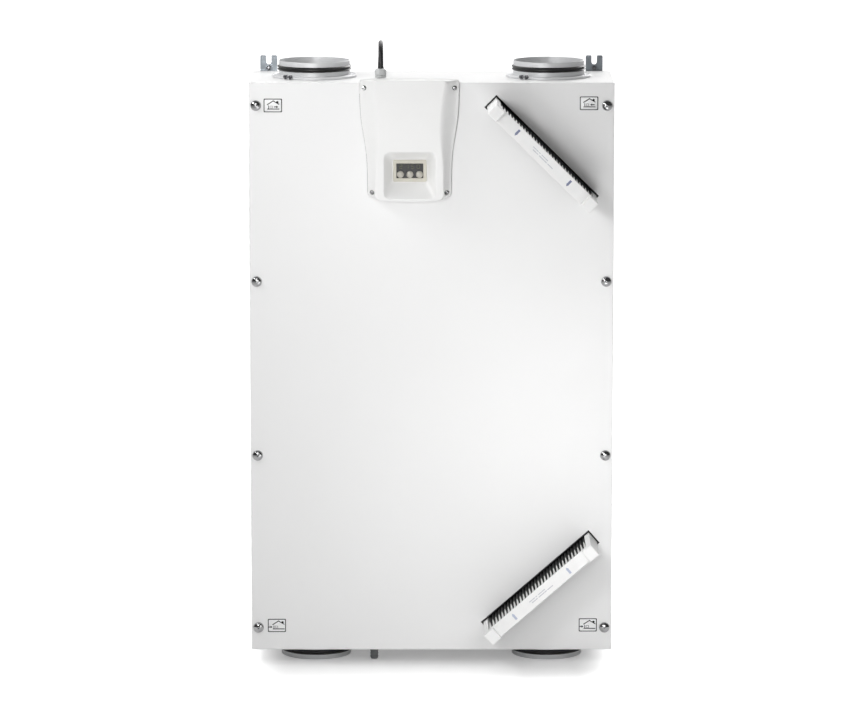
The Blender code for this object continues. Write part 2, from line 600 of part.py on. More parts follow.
def lid():
    """Lid with a raised middle between sloping flanks, and a tapered well for the display."""
    place = (BOX_X, 0, 0)
    rear = BOX_SPLIT - GAP
    sections = ((shield(), rear), (shield(), -0.0048), (shield(0.0012), -0.0060),
                (shield(0.002, crown_half, 0.006), BOX_FRONT + 0.0017),
                (shield(0.005, crown_half, 0.006), BOX_FRONT))
    rings = [[(x, depth, up) for x, up in outline] for outline, depth in sections]
    cover = add("control_box_lid", loft_mesh(rings), WHITE_PLASTIC, place, smooth=20)
    hollow = box_mesh((-0.045, BOX_FRONT + 0.0035, 0.398), (0.045, 0.01, 0.492))
    combine(cover, add("lid_hollow", hollow, place=place))
    shift = DISPLAY_X - BOX_X
    mouth = [(shift - 0.0443, 0.3012), (shift + 0.0443, 0.3012), (shift + 0.0443, 0.3814),
             (shift - 0.0443, 0.3814)]
    floor = [(shift - 0.031, 0.3262), (shift + 0.031, 0.3262), (shift + 0.031, 0.3689),
             (shift - 0.031, 0.3689)]
    beyond = 0.001
    grow = beyond / (WELL_FLOOR - BOX_FRONT)
    reach = [(m[0] + (m[0] - f[0]) * grow, m[1] + (m[1] - f[1]) * grow) for m, f in zip(mouth, floor)]
    well = loft_mesh([[(x, BOX_FRONT - beyond, z) for x, z in reach], [(x, WELL_FLOOR, z) for x, z in floor]])
    combine(cover, add("display_well", well, place=place))
    window = box_mesh((-0.027, -0.010, -0.017), (0.027, 0.010, 0.017))
    combine(cover, add("display_window", window, place=(DISPLAY_X, 0, DISPLAY_UP)))


def display():
    """Bezel, dark display module and three sprung buttons, in the lid's well."""
    place = (DISPLAY_X, 0, DISPLAY_UP)
    rim = box_mesh((-0.029, WELL_FLOOR - 0.0018, -0.0191), (0.029, WELL_FLOOR - GAP, 0.0191))
    bezel = add("display_bezel", rim, BEZEL, place)
    window = box_mesh((-0.0232, -0.01, -0.0127), (0.0232, 0.01, 0.0127))
    combine(bezel, add("bezel_hole", window, place=place))
    body = box_mesh((-0.025, WELL_FLOOR + 0.0001, -0.0150), (0.025, WELL_FLOOR + 0.0050, 0.0150))
    module = add("display_module", body, DARK_PLASTIC, place)
    offsets = (-BUTTON_PITCH, 0, BUTTON_PITCH)
    drop = BUTTON_UP - DISPLAY_UP
    holes = rod_mesh(BUTTON_R + 0.0004, -0.01, 0.01, 12, "Y", [(x, drop) for x in offsets])
    combine(module, add("button_holes", holes, place=place))
    top, stem = WELL_FLOOR - 0.0010, WELL_FLOOR + 0.0053
    foot = BOARD_LEDGE - GAP - 0.0016 - 0.0011
    profile = ((0, top - 0.0006), (BUTTON_R, top), (BUTTON_R, stem), (BUTTON_R + 0.0008, stem),
               (BUTTON_R + 0.0008, stem + 0.0012), (0.002, stem + 0.0012), (0.002, foot), (0, foot))
    first = None
    for number, offset in enumerate(offsets, 1):
        spot, name = (DISPLAY_X + offset, 0, BUTTON_UP), f"button_{number}"
        if first:
            button = copy_of(first, name, spot)
        else:
            button = first = add(name, turned_mesh(profile, 12, "Y"), BEZEL, spot, smooth=40)
        pivot(name, spot, [button])


# ---------------------------------------------------------------- gland, cord, coil and plug
def smooth_route(points, spacing):
    """Evenly spaced points on a Catmull-Rom curve through the route's own points."""
    points = [Vector(p) for p in points]
    padded = [points[0] * 2 - points[1], *points, points[-1] * 2 - points[-2]]
    dense = []
    for a, b, c, d in zip(padded, padded[1:], padded[2:], padded[3:]):
        for i in range(24):
            t = i / 24
            dense.append(0.5 * (2 * b + (c - a) * t + (2 * a - 5 * b + 4 * c - d) * t ** 2
                                + (3 * b - a - 3 * c + d) * t ** 3))
    dense.append(points[-1])
    total = sum((q - p).length for p, q in zip(dense, dense[1:]))
    step = total / round(total / spacing)
    even, walked = [dense[0]], 0.0
    for p, q in zip(dense, dense[1:]):
        length = (q - p).length
        while walked + length >= step * len(even) and len(even) < round(total / step):
            even.append(p.lerp(q, (step * len(even) - walked) / length))
        walked += length
    return even + [dense[-1]]


def cord():
    place = (GLAND_X, GLAND_DEPTH, 0)
    seat = BOX_TOP + GAP
    low = BOX_TOP - 0.0038
    body = ((0, low), (0.0060, low), (0.0060, seat), (0.0100, seat), (0.0100, seat + 0.0042),
            (0, seat + 0.0042))
    add("gland_body", turned_mesh(body, 12), GREY_PLASTIC, place, smooth=30)
    low = seat + 0.0042 + GAP
    nut = ((0, low), (0.0094, low), (0.0096, low + 0.0065), (0.0082, low + 0.0090), (0.0056, GLAND_TOP),
           (0, GLAND_TOP))
    add("gland_nut", turned_mesh(nut, 16), GREY_PLASTIC, place, smooth=30)

    curve = bpy.data.curves.new("power_cord", "CURVE")
    curve.dimensions = "3D"
    curve.bevel_depth = CORD_R
    curve.bevel_resolution = 2
    curve.use_fill_caps = True
    route = smooth_route([world(GLAND_X, depth, up) for depth, up in CORD_ROUTE], CORD_STEP)
    spline = curve.splines.new("POLY")
    spline.points.add(len(route) - 1)
    for point, spot in zip(spline.points, route):
        point.co = (*spot, 1.0)
    curve.materials.append(material("power_cord " + LEAD[0], *LEAD[1:]))
    tube = bpy.data.objects.new("power_cord", curve)
    bpy.context.collection.objects.link(tube)

    half, rim = COIL_HALF, 0.004
    low, high = 0.0002, 2 * half
    ring = ((COIL_R - half, low), (COIL_R + half, low), (COIL_R + half, high - rim),
            (COIL_R + half - rim, high), (COIL_R - half + rim, high), (COIL_R - half, high - rim))
    add("cord_coil", turned_mesh(ring, 24), LEAD, (GLAND_X + COIL_R, COIL_DEPTH, FLOOR), smooth=50)
    plug()


def plug():
    """Two-pin mains plug on its side, behind the coil."""
    radius = 0.0165
    start = GLAND_X + COIL_R + 0.0370
    body = ((0, 0), (0.0052, 0), (0.0070, 0.012), (0.0125, 0.014), (radius, 0.022), (radius, 0.040),
            (0.0150, 0.044), (0, 0.044))
    place = (start, COIL_DEPTH + COIL_R + 0.002, FLOOR + radius + 0.0003)
    turned = turned_mesh(body, 12)
    turned.transform(Matrix.Rotation(math.pi / 2, 4, "Y"))
    shell = add("mains_plug", turned, DARK_PLASTIC, place, smooth=40)
    pins = rod_mesh(0.0024, 0.040, 0.063, 8, "Z", [(0, -0.0095), (0, 0.0095)])
    pins.transform(Matrix.Rotation(math.pi / 2, 4, "Y"))
    combine(shell, add("plug_pins", pins, place=place), "UNION")


# ---------------------------------------------------------------- the unit
casing()
foam_body()
exchanger()
bypass()
for fan_word, fan_sign in (("upper", 1), ("lower", -1)):
    fan(fan_word, fan_sign)
for filter_name in FILTERS:
    filter_cassette(filter_name)
spigots()
brackets()
drain()
control_box()
cord()
pivot("front_cover", (0, 0, 0), front_cover())
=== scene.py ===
"""Finished look of a wall-hung heat recovery ventilation unit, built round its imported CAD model.

Metres, +Z up, and the front cover faces -Y. A place on the unit is written as (x, depth, up): depth
runs back from the cover's face and up runs from the cover's mid-height. at() gives its world place.
"""

import math

import bmesh
import bpy
from mathutils import Matrix, Vector


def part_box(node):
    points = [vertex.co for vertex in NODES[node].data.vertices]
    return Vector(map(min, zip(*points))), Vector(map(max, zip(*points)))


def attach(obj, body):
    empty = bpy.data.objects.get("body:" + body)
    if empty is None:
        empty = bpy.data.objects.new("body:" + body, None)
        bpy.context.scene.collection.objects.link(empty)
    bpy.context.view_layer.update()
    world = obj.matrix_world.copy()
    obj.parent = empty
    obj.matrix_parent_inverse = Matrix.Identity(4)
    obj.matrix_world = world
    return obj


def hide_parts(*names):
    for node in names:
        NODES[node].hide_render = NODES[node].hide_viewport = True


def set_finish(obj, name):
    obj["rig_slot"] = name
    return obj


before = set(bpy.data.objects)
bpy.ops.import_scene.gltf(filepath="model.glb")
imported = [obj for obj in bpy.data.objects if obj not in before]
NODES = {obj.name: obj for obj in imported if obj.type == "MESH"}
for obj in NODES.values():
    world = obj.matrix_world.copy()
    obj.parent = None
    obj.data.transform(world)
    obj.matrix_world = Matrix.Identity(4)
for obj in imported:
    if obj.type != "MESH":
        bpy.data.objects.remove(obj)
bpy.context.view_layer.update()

# ---------------------------------------------------------------- sizes read from the frame
PANEL_LOW, PANEL_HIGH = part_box("front_panel")
CASING_LOW, CASING_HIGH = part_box("casing_shell")
COLLAR_LOW, COLLAR_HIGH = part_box("upper_left_duct_collar")
FRONT_Y, MID_Z = PANEL_LOW.y, (PANEL_LOW.z + PANEL_HIGH.z) / 2
HALF_W, HALF_H = PANEL_HIGH.x, (PANEL_HIGH.z - PANEL_LOW.z) / 2
COVER_FOLD = PANEL_HIGH.y - FRONT_Y
FLANGE_DEPTH, CASING_BACK = CASING_LOW.y - FRONT_Y, CASING_HIGH.y - FRONT_Y
SPIGOT_X = -(COLLAR_LOW.x + COLLAR_HIGH.x) / 2
SPIGOT_DEPTH = (COLLAR_LOW.y + COLLAR_HIGH.y) / 2 - FRONT_Y
SPIGOT_R = (COLLAR_HIGH.x - COLLAR_LOW.x) / 2
SPIGOT_OUT = COLLAR_HIGH.z - PANEL_HIGH.z
SPIGOT_IN = PANEL_HIGH.z - COLLAR_LOW.z

# ---------------------------------------------------------------- sizes shared with the CAD source
GAP = 0.0003
SHEET = 0.0015
FLANGE_W = 0.0215
FILTERS = {"upper": (0.1906, 0.380, 44.6), "lower": (0.1906, -0.3795, -41.1)}   # x, up, slope
FILTER_L, FILTER_T, FILTER_D = 0.244, 0.023, 0.175
GRIP_L, GRIP_H = 0.020, 0.015
FILTER_OUT = 0.112
RIM_SIDE, RIM_FRONT = 0.010, 0.004      # card round the fleece: at the ends, at the front and rear
SLOT_L, SLOT_T = 0.250, 0.030
SCREW_X, SCREW_UPS = 0.3035, (0.460, 0.1533, -0.1533, -0.460)
BOX_X, BOX_TOP, BOX_BOTTOM = -0.0382, 0.5076, 0.2936
BOX_SPLIT, BOX_FRONT = -0.0015, -0.0262
WELL_FLOOR = -0.0035
WELL_MOUTH = (0.0443, 0.3012, 0.3814, 0.0125)      # half width, low, high, corner radius
WELL_BASE = (0.031, 0.3262, 0.3689, 0.0090)
GLAND_X, GLAND_DEPTH, GLAND_TOP = -0.0878, 0.0095, 0.5237
DISPLAY_X, DISPLAY_UP = BOX_X + 0.0008, 0.3472
BUTTON_PITCH, BUTTON_UP, BUTTON_R = 0.0165, 0.3406, 0.0060
DRAIN_X, DRAIN_DEPTH, DRAIN_END = -0.1012, 0.056, -0.5275

# power lead: its route in the plane x = GLAND_X as (depth, up), then the coil behind the unit
CORD_R = 0.004
CORD_ROUTE = (
    (GLAND_DEPTH, GLAND_TOP + 2 * GAP), (GLAND_DEPTH, 0.5363), (0.0145, 0.5520), (0.0285, 0.5635),
    (0.0450, 0.5650), (0.0610, 0.5570), (0.0740, 0.5400), (0.0860, 0.5210), (0.1010, 0.5085),
    (0.1200, 0.5045), (0.1500, 0.5043), (0.1950, 0.5043), (0.2160, 0.5043), (0.2350, 0.4970),
    (0.2460, 0.4800), (0.2475, 0.4550), (0.2450, 0.3500), (0.2400, 0.2000), (0.2360, 0.0500),
    (0.2330, -0.1500), (0.2320, -0.3500), (0.2330, -0.4600), (0.2360, -0.4950),
    (0.2490, -0.5170), (0.2700, -0.5245), (0.2865, -0.5248))
COIL_R, COIL_DEPTH = 0.043, 0.320
COIL_CENTRE = Vector((GLAND_X + COIL_R, FRONT_Y + COIL_DEPTH, 0))
COIL_KEYS = (                      # turned by (degrees), radius, height of the lead's middle
    (0, 0.0430, 0.0046), (40, 0.0472, 0.0049), (230, 0.0472, 0.0049), (320, 0.0472, 0.0131),
    (375, 0.0472, 0.0131), (430, 0.0389, 0.0131), (520, 0.0389, 0.0048), (590, 0.0389, 0.0048),
    (680, 0.0389, 0.0131), (725, 0.0389, 0.0155), (755, 0.0400, 0.0214), (800, 0.0415, 0.0214),
    (810, 0.0425, 0.0208))
PLUG_START, PLUG_R = (GLAND_X + COIL_R + 0.037, 0.3650), 0.0165   # (x, depth) of its cable end

ROUND = 96                         # sides of large round pieces
PLEAT_TALL = FILTER_T / 2 - 0.0004  # crests of the filter's folds, from its middle
PLEAT_SHADE_SPREAD = 0.13                   # how fast the painted shade in the valleys widens towards the slot


def at(x, depth, up):
    return Vector((x, FRONT_Y + depth, MID_Z + up))


# ---------------------------------------------------------------- node materials
class Nodes:
    """A node tree being put together."""

    def __init__(self, tree):
        self.tree = tree

    def add(self, kind, **settings):
        node = self.tree.nodes.new(f"ShaderNode{kind}")
        for key, value in settings.items():
            setattr(node, key, value)
        return node

    def join(self, source, socket):
        self.tree.links.new(source, socket)

    def fed(self, kind, inputs, output=0, **settings):
        """A new node's output; each of its inputs is given a value or another node's output."""
        node = self.add(kind, **settings)
        for socket, value in inputs.items():
            if isinstance(value, bpy.types.NodeSocket):
                self.join(value, node.inputs[socket])
            else:
                node.inputs[socket].default_value = value
        return node.outputs[output]

    def math(self, operation, *values):
        return self.fed("Math", dict(enumerate(values)), operation=operation)

    def spread(self, value, low, high, start=0.3, end=0.7):
        """The value's range from start to end, mapped to low to high."""
        return self.fed("MapRange", {"Value": value, "From Min": start, "From Max": end,
                                     "To Min": low, "To Max": high}, "Result")


class Finish(Nodes):
    """A node material being put together round one Principled shader."""

    def __init__(self, name, slot, color, roughness, metallic=0.0, sockets=None):
        self.slot = slot
        self.material = bpy.data.materials.new(name)
        self.material.use_nodes = True
        super().__init__(self.material.node_tree)
        self.shader = self.tree.nodes["Principled BSDF"]
        self.shader.inputs["Base Color"].default_value = (*color, 1.0)
        self.shader.inputs["Roughness"].default_value = roughness
        self.shader.inputs["Metallic"].default_value = metallic
        for socket, value in (sockets or {}).items():
            self.shader.inputs[socket].default_value = value
        self.place = self.add("TexCoord").outputs["Object"]
        self.relief = None

    def noise(self, scale, detail=2.0, stretch=None):
        place = self.place
        if stretch:
            place = self.fed("Mapping", {"Scale": stretch, "Vector": place}, "Vector")
        return self.fed("TexNoise", {"Scale": scale, "Detail": detail, "Vector": place}, "Fac")

    def cells(self, scale, feature="F1"):
        """Distance from the middle or edge of each cell."""
        return self.fed("TexVoronoi", {"Scale": scale, "Vector": self.place}, "Distance", feature=feature)

    def crystals(self, scale):
        """One random grey for each cell."""
        color = self.fed("TexVoronoi", {"Scale": scale, "Vector": self.place}, "Color")
        return self.fed("RGBToBW", {"Color": color}, "Val")

    def bands(self, scale, axis):
        return self.fed("TexWave", {"Scale": scale, "Vector": self.place}, "Fac", bands_direction=axis)

    def along(self, axis):
        return self.fed("SeparateXYZ", {"Vector": self.place}, axis)

    def tint(self, value, *stops):
        """Base colour from a value; each stop is (place, colour)."""
        ramp = self.add("ValToRGB")
        elements = ramp.color_ramp.elements
        while len(elements) < len(stops):
            elements.new(0.5)
        for element, (place, color) in zip(elements, stops):
            element.position = place
            element.color = (*color, 1.0)
        self.join(value, ramp.inputs["Fac"])
        self.join(ramp.outputs["Color"], self.shader.inputs["Base Color"])
        return self

    def rough(self, value, low, high):
        self.join(self.spread(value, low, high), self.shader.inputs["Roughness"])
        return self

    def bump(self, height, distance, strength=1.0):
        node = self.add("Bump")
        node.inputs["Strength"].default_value = strength
        node.inputs["Distance"].default_value = distance
        self.join(height, node.inputs["Height"])
        if self.relief is not None:
            self.join(self.relief, node.inputs["Normal"])
        self.relief = node.outputs["Normal"]
        self.join(self.relief, self.shader.inputs["Normal"])
        return self


def shades(color, amount):
    """A darker and a lighter version of a colour."""
    return tuple(c * (1 - amount) for c in color), tuple(min(1.0, c * (1 + amount)) for c in color)


def mottled(name, slot, color, roughness, amount, scale, grain, relief, metallic=0.0, sockets=None):
    """A finish whose colour and gloss drift a little, with a fine grain in relief."""
    made = Finish(name, slot, color, roughness, metallic, sockets)
    dark, light = shades(color, amount)
    drift = made.noise(scale, 4.0)
    made.tint(drift, (0.35, dark), (0.65, light))
    made.rough(made.noise(scale * 7, 3.0), roughness * 0.86, roughness * 1.14)
    return made.bump(made.noise(grain, 2.0), relief)


def powder_coat():
    """Satin white powder coat with a faint orange peel."""
    made = mottled("powder_coat", "white_paint", (0.868, 0.868, 0.866), 0.36, 0.006, 3.0, 520, 0.00002)
    return made.bump(made.cells(1900), 0.000008)


def galvanised(name, color, roughness, spangle):
    """Zinc coated steel: crystals that differ in tone and gloss, under fine rolling lines."""
    made = Finish(name, "galvanised", color, roughness, 0.35)
    dark, light = shades(color, 0.09)
    crystals = made.crystals(spangle)
    made.tint(crystals, (0.15, dark), (0.85, light))
    made.rough(crystals, roughness * 0.75, roughness * 1.25)
    return made.bump(made.noise(30, 3.0, (1, 1, 60)), 0.00003)


def rolled_steel():
    """Smooth duct steel: lines run round the collar, so they change with height only."""
    color = (0.74, 0.745, 0.755)
    made = Finish("rolled_steel", "galvanised", color, 0.48, 0.20)
    lines = made.noise(6, 4.0, (1, 1, 190))
    dark, light = shades(color, 0.07)
    made.tint(lines, (0.3, dark), (0.7, light))
    made.rough(lines, 0.36, 0.50)
    return made.bump(lines, 0.00003)


def chrome():
    made = Finish("bright_chrome", "polished_steel", (0.44, 0.44, 0.45), 0.07, 1.0)
    scratches = made.noise(500, 3.0, (1, 4, 1))
    made.rough(scratches, 0.04, 0.13)
    made.tint(made.noise(160, 2.0), (0.3, (0.41, 0.41, 0.42)), (0.7, (0.47, 0.47, 0.47)))
    return made.bump(scratches, 0.000004)


def bead_foam():
    """Expanded foam moulded from beads about 4 mm across."""
    made = Finish("bead_foam", "foam", (0.10, 0.105, 0.11), 0.85)
    beads = made.crystals(240)
    made.tint(beads, (0.1, (0.075, 0.08, 0.085)), (0.9, (0.135, 0.14, 0.145)))
    made.rough(beads, 0.75, 0.92)
    return made.bump(made.cells(240, "SMOOTH_F1"), 0.0009, 0.7)


def plate_stack():
    """Edges of the exchanger's thin plates, stacked along the unit's depth, with painted shade in the
    channels between them.
    """
    made = Finish("plate_stack", "exchanger_film", (0.62, 0.68, 0.72), 0.32)
    plates = made.bands(105, "Y")
    # the dark stop is painted shade in the channels between the plates
    made.tint(plates, (0.2, (0.16, 0.19, 0.21)), (0.6, (0.66, 0.72, 0.76)))
    made.rough(made.noise(90, 2.0), 0.25, 0.42)
    return made.bump(plates, 0.0009)


def pleat_paper():
    """Filter fleece: white along the folds' crests, with painted shade darkening the valleys between them.
    """
    made = Finish("pleat_paper", "filter_paper", (0.86, 0.86, 0.85), 0.88)
    fibres = made.noise(800, 4.0, (1, 0.15, 1))
    out = made.math("ABSOLUTE", made.along("Z"))
    height = made.math("MULTIPLY_ADD", made.along("Y"), -PLEAT_SHADE_SPREAD, out)      # painted shade: the valleys darken more further in, towards the slot
    low = PLEAT_TALL - 0.0095 + PLEAT_SHADE_SPREAD * (FILTER_OUT - GRIP_H)
    crest = made.spread(height, 0.0, 1.0, low, low + 0.0040)
    # the dark stops are painted shade in the valleys; the light ones are the fleece's own white
    made.tint(crest, (0.0, (0.030, 0.030, 0.031)), (0.45, (0.16, 0.16, 0.155)), (0.62, (0.80, 0.80, 0.79)),
              (1.0, (0.90, 0.90, 0.89)))
    made.rough(fibres, 0.80, 0.95)
    return made.bump(fibres, 0.0002)


def circuit_green():
    made = Finish("circuit_green", "circuit_board", (0.02, 0.16, 0.07), 0.42)
    tracks = made.cells(210, "DISTANCE_TO_EDGE")
    made.tint(tracks, (0.03, (0.03, 0.24, 0.10)), (0.09, (0.015, 0.13, 0.055)))
    made.rough(made.noise(40, 2.0), 0.35, 0.50)
    return made.bump(tracks, 0.0001)


def dark_window():
    """Tinted display window with faint wiping marks."""
    made = Finish("dark_window", "dark_plastic", (0.010, 0.010, 0.011), 0.10)
    marks = made.noise(60, 4.0, (3, 1, 1))
    made.rough(marks, 0.07, 0.17)
    return made.tint(marks, (0.3, (0.008, 0.008, 0.009)), (0.7, (0.014, 0.014, 0.014)))


def lit_digits():
    made = Finish("lit_digits", "dark_plastic", (0.055, 0.058, 0.026), 0.4)
    made.shader.inputs["Emission Color"].default_value = (0.55, 0.60, 0.25, 1.0)
    made.shader.inputs["Emission Strength"].default_value = 0.035
    return made.tint(made.noise(900, 1.0), (0.3, (0.050, 0.053, 0.022)), (0.7, (0.065, 0.068, 0.030)))


PAINT = powder_coat()
# name, slot, colour, roughness, drift, its scale, grain's scale, relief
LID_WHITE = mottled("moulded_white", "white_plastic", (0.845, 0.845, 0.838), 0.34, 0.008, 14, 1500, 12e-6)
LIGHT_GREY = mottled("light_grey_plastic", "grey_plastic", (0.56, 0.57, 0.57), 0.42, 0.03, 30, 1200, 3e-5)
MID_GREY = mottled("mid_grey_plastic", "grey_plastic", (0.20, 0.205, 0.21), 0.40, 0.05, 30, 1000, 3e-5)
PALE_GREY = mottled("pale_grey_plastic", "grey_plastic", (0.60, 0.60, 0.58), 0.45, 0.03, 20, 900, 3e-5)
DARK = mottled("dark_plastic", "dark_plastic", (0.045, 0.046, 0.05), 0.42, 0.10, 25, 900, 4e-5)
CREAM = mottled("cream_plastic", "bezel_plastic", (0.60, 0.575, 0.50), 0.38, 0.02, 40, 1800, 1e-5)
BUTTON = mottled("button_plastic", "bezel_plastic", (0.44, 0.42, 0.37), 0.22, 0.03, 60, 1800, 1e-5,
                 sockets={"Coat Weight": 0.4})
RUBBER = mottled("ring_rubber", "black_rubber", (0.014, 0.014, 0.014), 0.38, 0.15, 60, 1400, 3e-5)
SHEATH = mottled("lead_sheath", "lead_sheath", (0.020, 0.020, 0.021), 0.40, 0.12, 30, 1500, 3e-5)
CARD = mottled("white_card", "card", (0.85, 0.85, 0.845), 0.78, 0.015, 60, 1500, 5e-5)
BLACK_INK = mottled("black_ink", "dark_plastic", (0.016, 0.016, 0.017), 0.55, 0.15, 200, 2000, 1e-5)
BLUE_INK = mottled("blue_ink", "card", (0.20, 0.225, 0.34), 0.70, 0.08, 500, 2500, 1e-5)
PALE_INK = mottled("pale_blue_ink", "card", (0.46, 0.50, 0.62), 0.70, 0.05, 500, 2500, 1e-5)
GREY_INK = mottled("grey_ink", "card", (0.55, 0.56, 0.60), 0.70, 0.05, 500, 2500, 1e-5)
LABEL = mottled("label_film", "card", (0.90, 0.90, 0.90), 0.30, 0.004, 60, 1500, 6e-6)
SCREW_STEEL = mottled("dark_screw_steel", "galvanised", (0.20, 0.20, 0.21), 0.33, 0.15, 300, 1800, 2e-5,
                      metallic=1.0)
ZINC = galvanised("zinc_sheet", (0.30, 0.33, 0.36), 0.46, 150)
MOTOR_ZINC = galvanised("motor_zinc", (0.55, 0.57, 0.59), 0.30, 220)
DUCT_STEEL = rolled_steel()
CHROME = chrome()
FOAM = bead_foam()
PLATES = plate_stack()
PLEATS = pleat_paper()
BOARD = circuit_green()
WINDOW = dark_window()
DIGITS = lit_digits()


# ---------------------------------------------------------------- mesh makers
def box_mesh(low, high):
    bm = bmesh.new()
    size = [high[i] - low[i] for i in range(3)]
    middle = [(high[i] + low[i]) / 2 for i in range(3)]
    bmesh.ops.create_cube(bm, size=1.0, matrix=Matrix.Translation(middle) @ Matrix.Diagonal((*size, 1)))
    return bm


def soft_box(low, high, radius, segments=3, keep_rear=False):
    """A box with rounded edges; keep_rear leaves the edges of its rear face sharp."""
    bm = box_mesh(low, high)
    edges = [e for e in bm.edges if not (keep_rear and all(v.co.y > high[1] - 1e-6 for v in e.verts))]
    bmesh.ops.bevel(bm, geom=edges, offset=radius, segments=segments, profile=0.5, affect="EDGES")
    return bm


def loft_mesh(rings, caps=True, wrap=False):
    """A surface through rings of points with one count; wrap joins the last ring to the first."""
    bm = bmesh.new()
    rows = [[bm.verts.new(point) for point in ring] for ring in rings]
    pairs = list(zip(rows, rows[1:])) + ([(rows[-1], rows[0])] if wrap else [])
    count = len(rings[0])
    for lower, upper in pairs:
        for i in range(count):
            j = (i + 1) % count
            bm.faces.new((lower[i], lower[j], upper[j], upper[i]))
    if caps and not wrap:
        bm.faces.new(rows[0])
        bm.faces.new(rows[-1])
    return bm


def prism_mesh(points, low, high):
    """A plate with an (x, up) outline, from one depth to another."""
    return loft_mesh([ring_at(points, depth) for depth in (low, high)])


def turned_mesh(profile, segments, axis="Z", ribs=None):
    """A closed (radius, height) profile turned about an axis. ribs(angle, radius) may move a radius."""
    bm = bmesh.new()
    columns = []
    for step in range(segments):
        angle = 2 * math.pi * step / segments
        column = []
        for index, (radius, height) in enumerate(profile):
            if radius == 0 and step:
                column.append(columns[0][index])
                continue
            here = ribs(angle, radius) if ribs and radius else radius
            flat = (here * math.cos(angle), here * math.sin(angle))
            column.append(bm.verts.new((*flat, height) if axis == "Z" else (flat[0], height, flat[1])))
        columns.append(column)
    for step in range(segments):
        here, there = columns[step], columns[(step + 1) % segments]
        for i in range(len(profile)):
            j = (i + 1) % len(profile)
            corners = list(dict.fromkeys((here[i], here[j], there[j], there[i])))
            if len(corners) > 2:
                bm.faces.new(corners)
    return bm


def rods_mesh(radius, low, high, segments, axis, places):
    profile = ((0, low), (radius, low), (radius, high), (0, high))
    return copies_mesh(lambda: turned_mesh(profile, segments, axis),
                       [Matrix.Translation((a, 0, b) if axis == "Y" else (a, b, 0)) for a, b in places])


def merge_into(bm, other):
    mesh = bpy.data.meshes.new("merge")
    other.to_mesh(mesh)
    other.free()
    bm.from_mesh(mesh)
    bpy.data.meshes.remove(mesh)


def copies_mesh(make, matrices):
    """One mesh of several separate copies; make() gives a fresh bmesh."""
    bm = bmesh.new()
    for matrix in matrices:
        part = make()
        part.transform(matrix)
        merge_into(bm, part)
    return bm


def arc(centre, radius, start, end, steps):
    """Points on an arc, with angles in degrees."""
    points = []
    for i in range(steps + 1):
        angle = math.radians(start + (end - start) * i / steps)
        points.append((centre[0] + radius * math.cos(angle), centre[1] + radius * math.sin(angle)))
    return points


def dome_points(radius, height, angles, base=0.0):
    """(radius, height) points up a dome; 0 degrees is its edge and 90 its top."""
    return [(radius * math.cos(math.radians(a)), base + height * math.sin(math.radians(a))) for a in angles]


def bend(start, corner, end, steps):
    """A rounded corner: points of a quadratic curve, both ends included."""
    points = []
    for i in range(steps + 1):
        t = i / steps
        points.append(tuple((1 - t) ** 2 * start[k] + 2 * t * (1 - t) * corner[k] + t * t * end[k]
                            for k in range(2)))
    return points


def smooth_step(t):
    t = min(1.0, max(0.0, t))
    return t * t * (3 - 2 * t)


# ---------------------------------------------------------------- objects
def shown(name, data, place=(0, 0, 0), turn=(0, 0, 0)):
    """A new object in the scene."""
    obj = bpy.data.objects.new(name, data)
    bpy.context.scene.collection.objects.link(obj)
    obj.location, obj.rotation_euler = place, turn
    return obj


def belongs(obj, slot, body="root", replaces=()):
    """Says which body a piece rides on, its material slot, and the CAD nodes it stands for."""
    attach(obj, body)
    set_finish(obj, slot)
    if replaces:
        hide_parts(*replaces)
    return obj


def bare(name, bm, place=None, slope=0.0):
    """An object with no finish yet; slope turns it about Y, in degrees."""
    bmesh.ops.recalc_face_normals(bm, faces=bm.faces)
    mesh = bpy.data.meshes.new(name)
    bm.to_mesh(mesh)
    bm.free()
    return shown(name, mesh, place or (0, 0, 0), (0, math.radians(slope), 0))


def settle(obj):
    """Applies an object's modifiers to its mesh."""
    bpy.context.view_layer.update()
    evaluated = obj.evaluated_get(bpy.context.evaluated_depsgraph_get())
    mesh = bpy.data.meshes.new_from_object(evaluated)
    obj.modifiers.clear()
    obj.data = mesh
    return obj


def cut(obj, *tools):
    for tool in tools:
        modifier = obj.modifiers.new("cut", "BOOLEAN")
        modifier.operation, modifier.solver, modifier.object = "DIFFERENCE", "EXACT", tool
    settle(obj)
    for tool in tools:
        bpy.data.objects.remove(tool)
    return obj


def finish_piece(obj, finish, body="root", replaces=(), smooth=35, weighted=False):
    """Shades a piece, gives it its finish and lets it ride on its body."""
    obj.data.materials.clear()
    obj.data.materials.append(finish.material)
    obj.data.shade_smooth()
    obj.data.set_sharp_from_angle(angle=math.radians(smooth))
    if weighted:
        modifier = obj.modifiers.new("flat faces stay flat", "WEIGHTED_NORMAL")
        modifier.keep_sharp = True
        settle(obj)
    return belongs(obj, finish.slot, body, replaces)


def piece(name, bm, finish, body="root", replaces=(), place=None, slope=0.0, **looks):
    return finish_piece(bare(name, bm, place, slope), finish, body, replaces, **looks)


def twin(source, name, place, replaces=(), body="root", turn=(0, 0, 0)):
    """Another piece on the same mesh."""
    return belongs(shown(name, source.data, place, turn), source["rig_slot"], body, replaces)


def carry_over(finish, *names):
    """CAD nodes that keep their shape and take a finer finish."""
    for name in names:
        node = NODES[name]
        if not node.material_slots:
            node.data.materials.append(finish.material)
        for slot in node.material_slots:
            slot.material = finish.material
        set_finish(node, finish.slot)


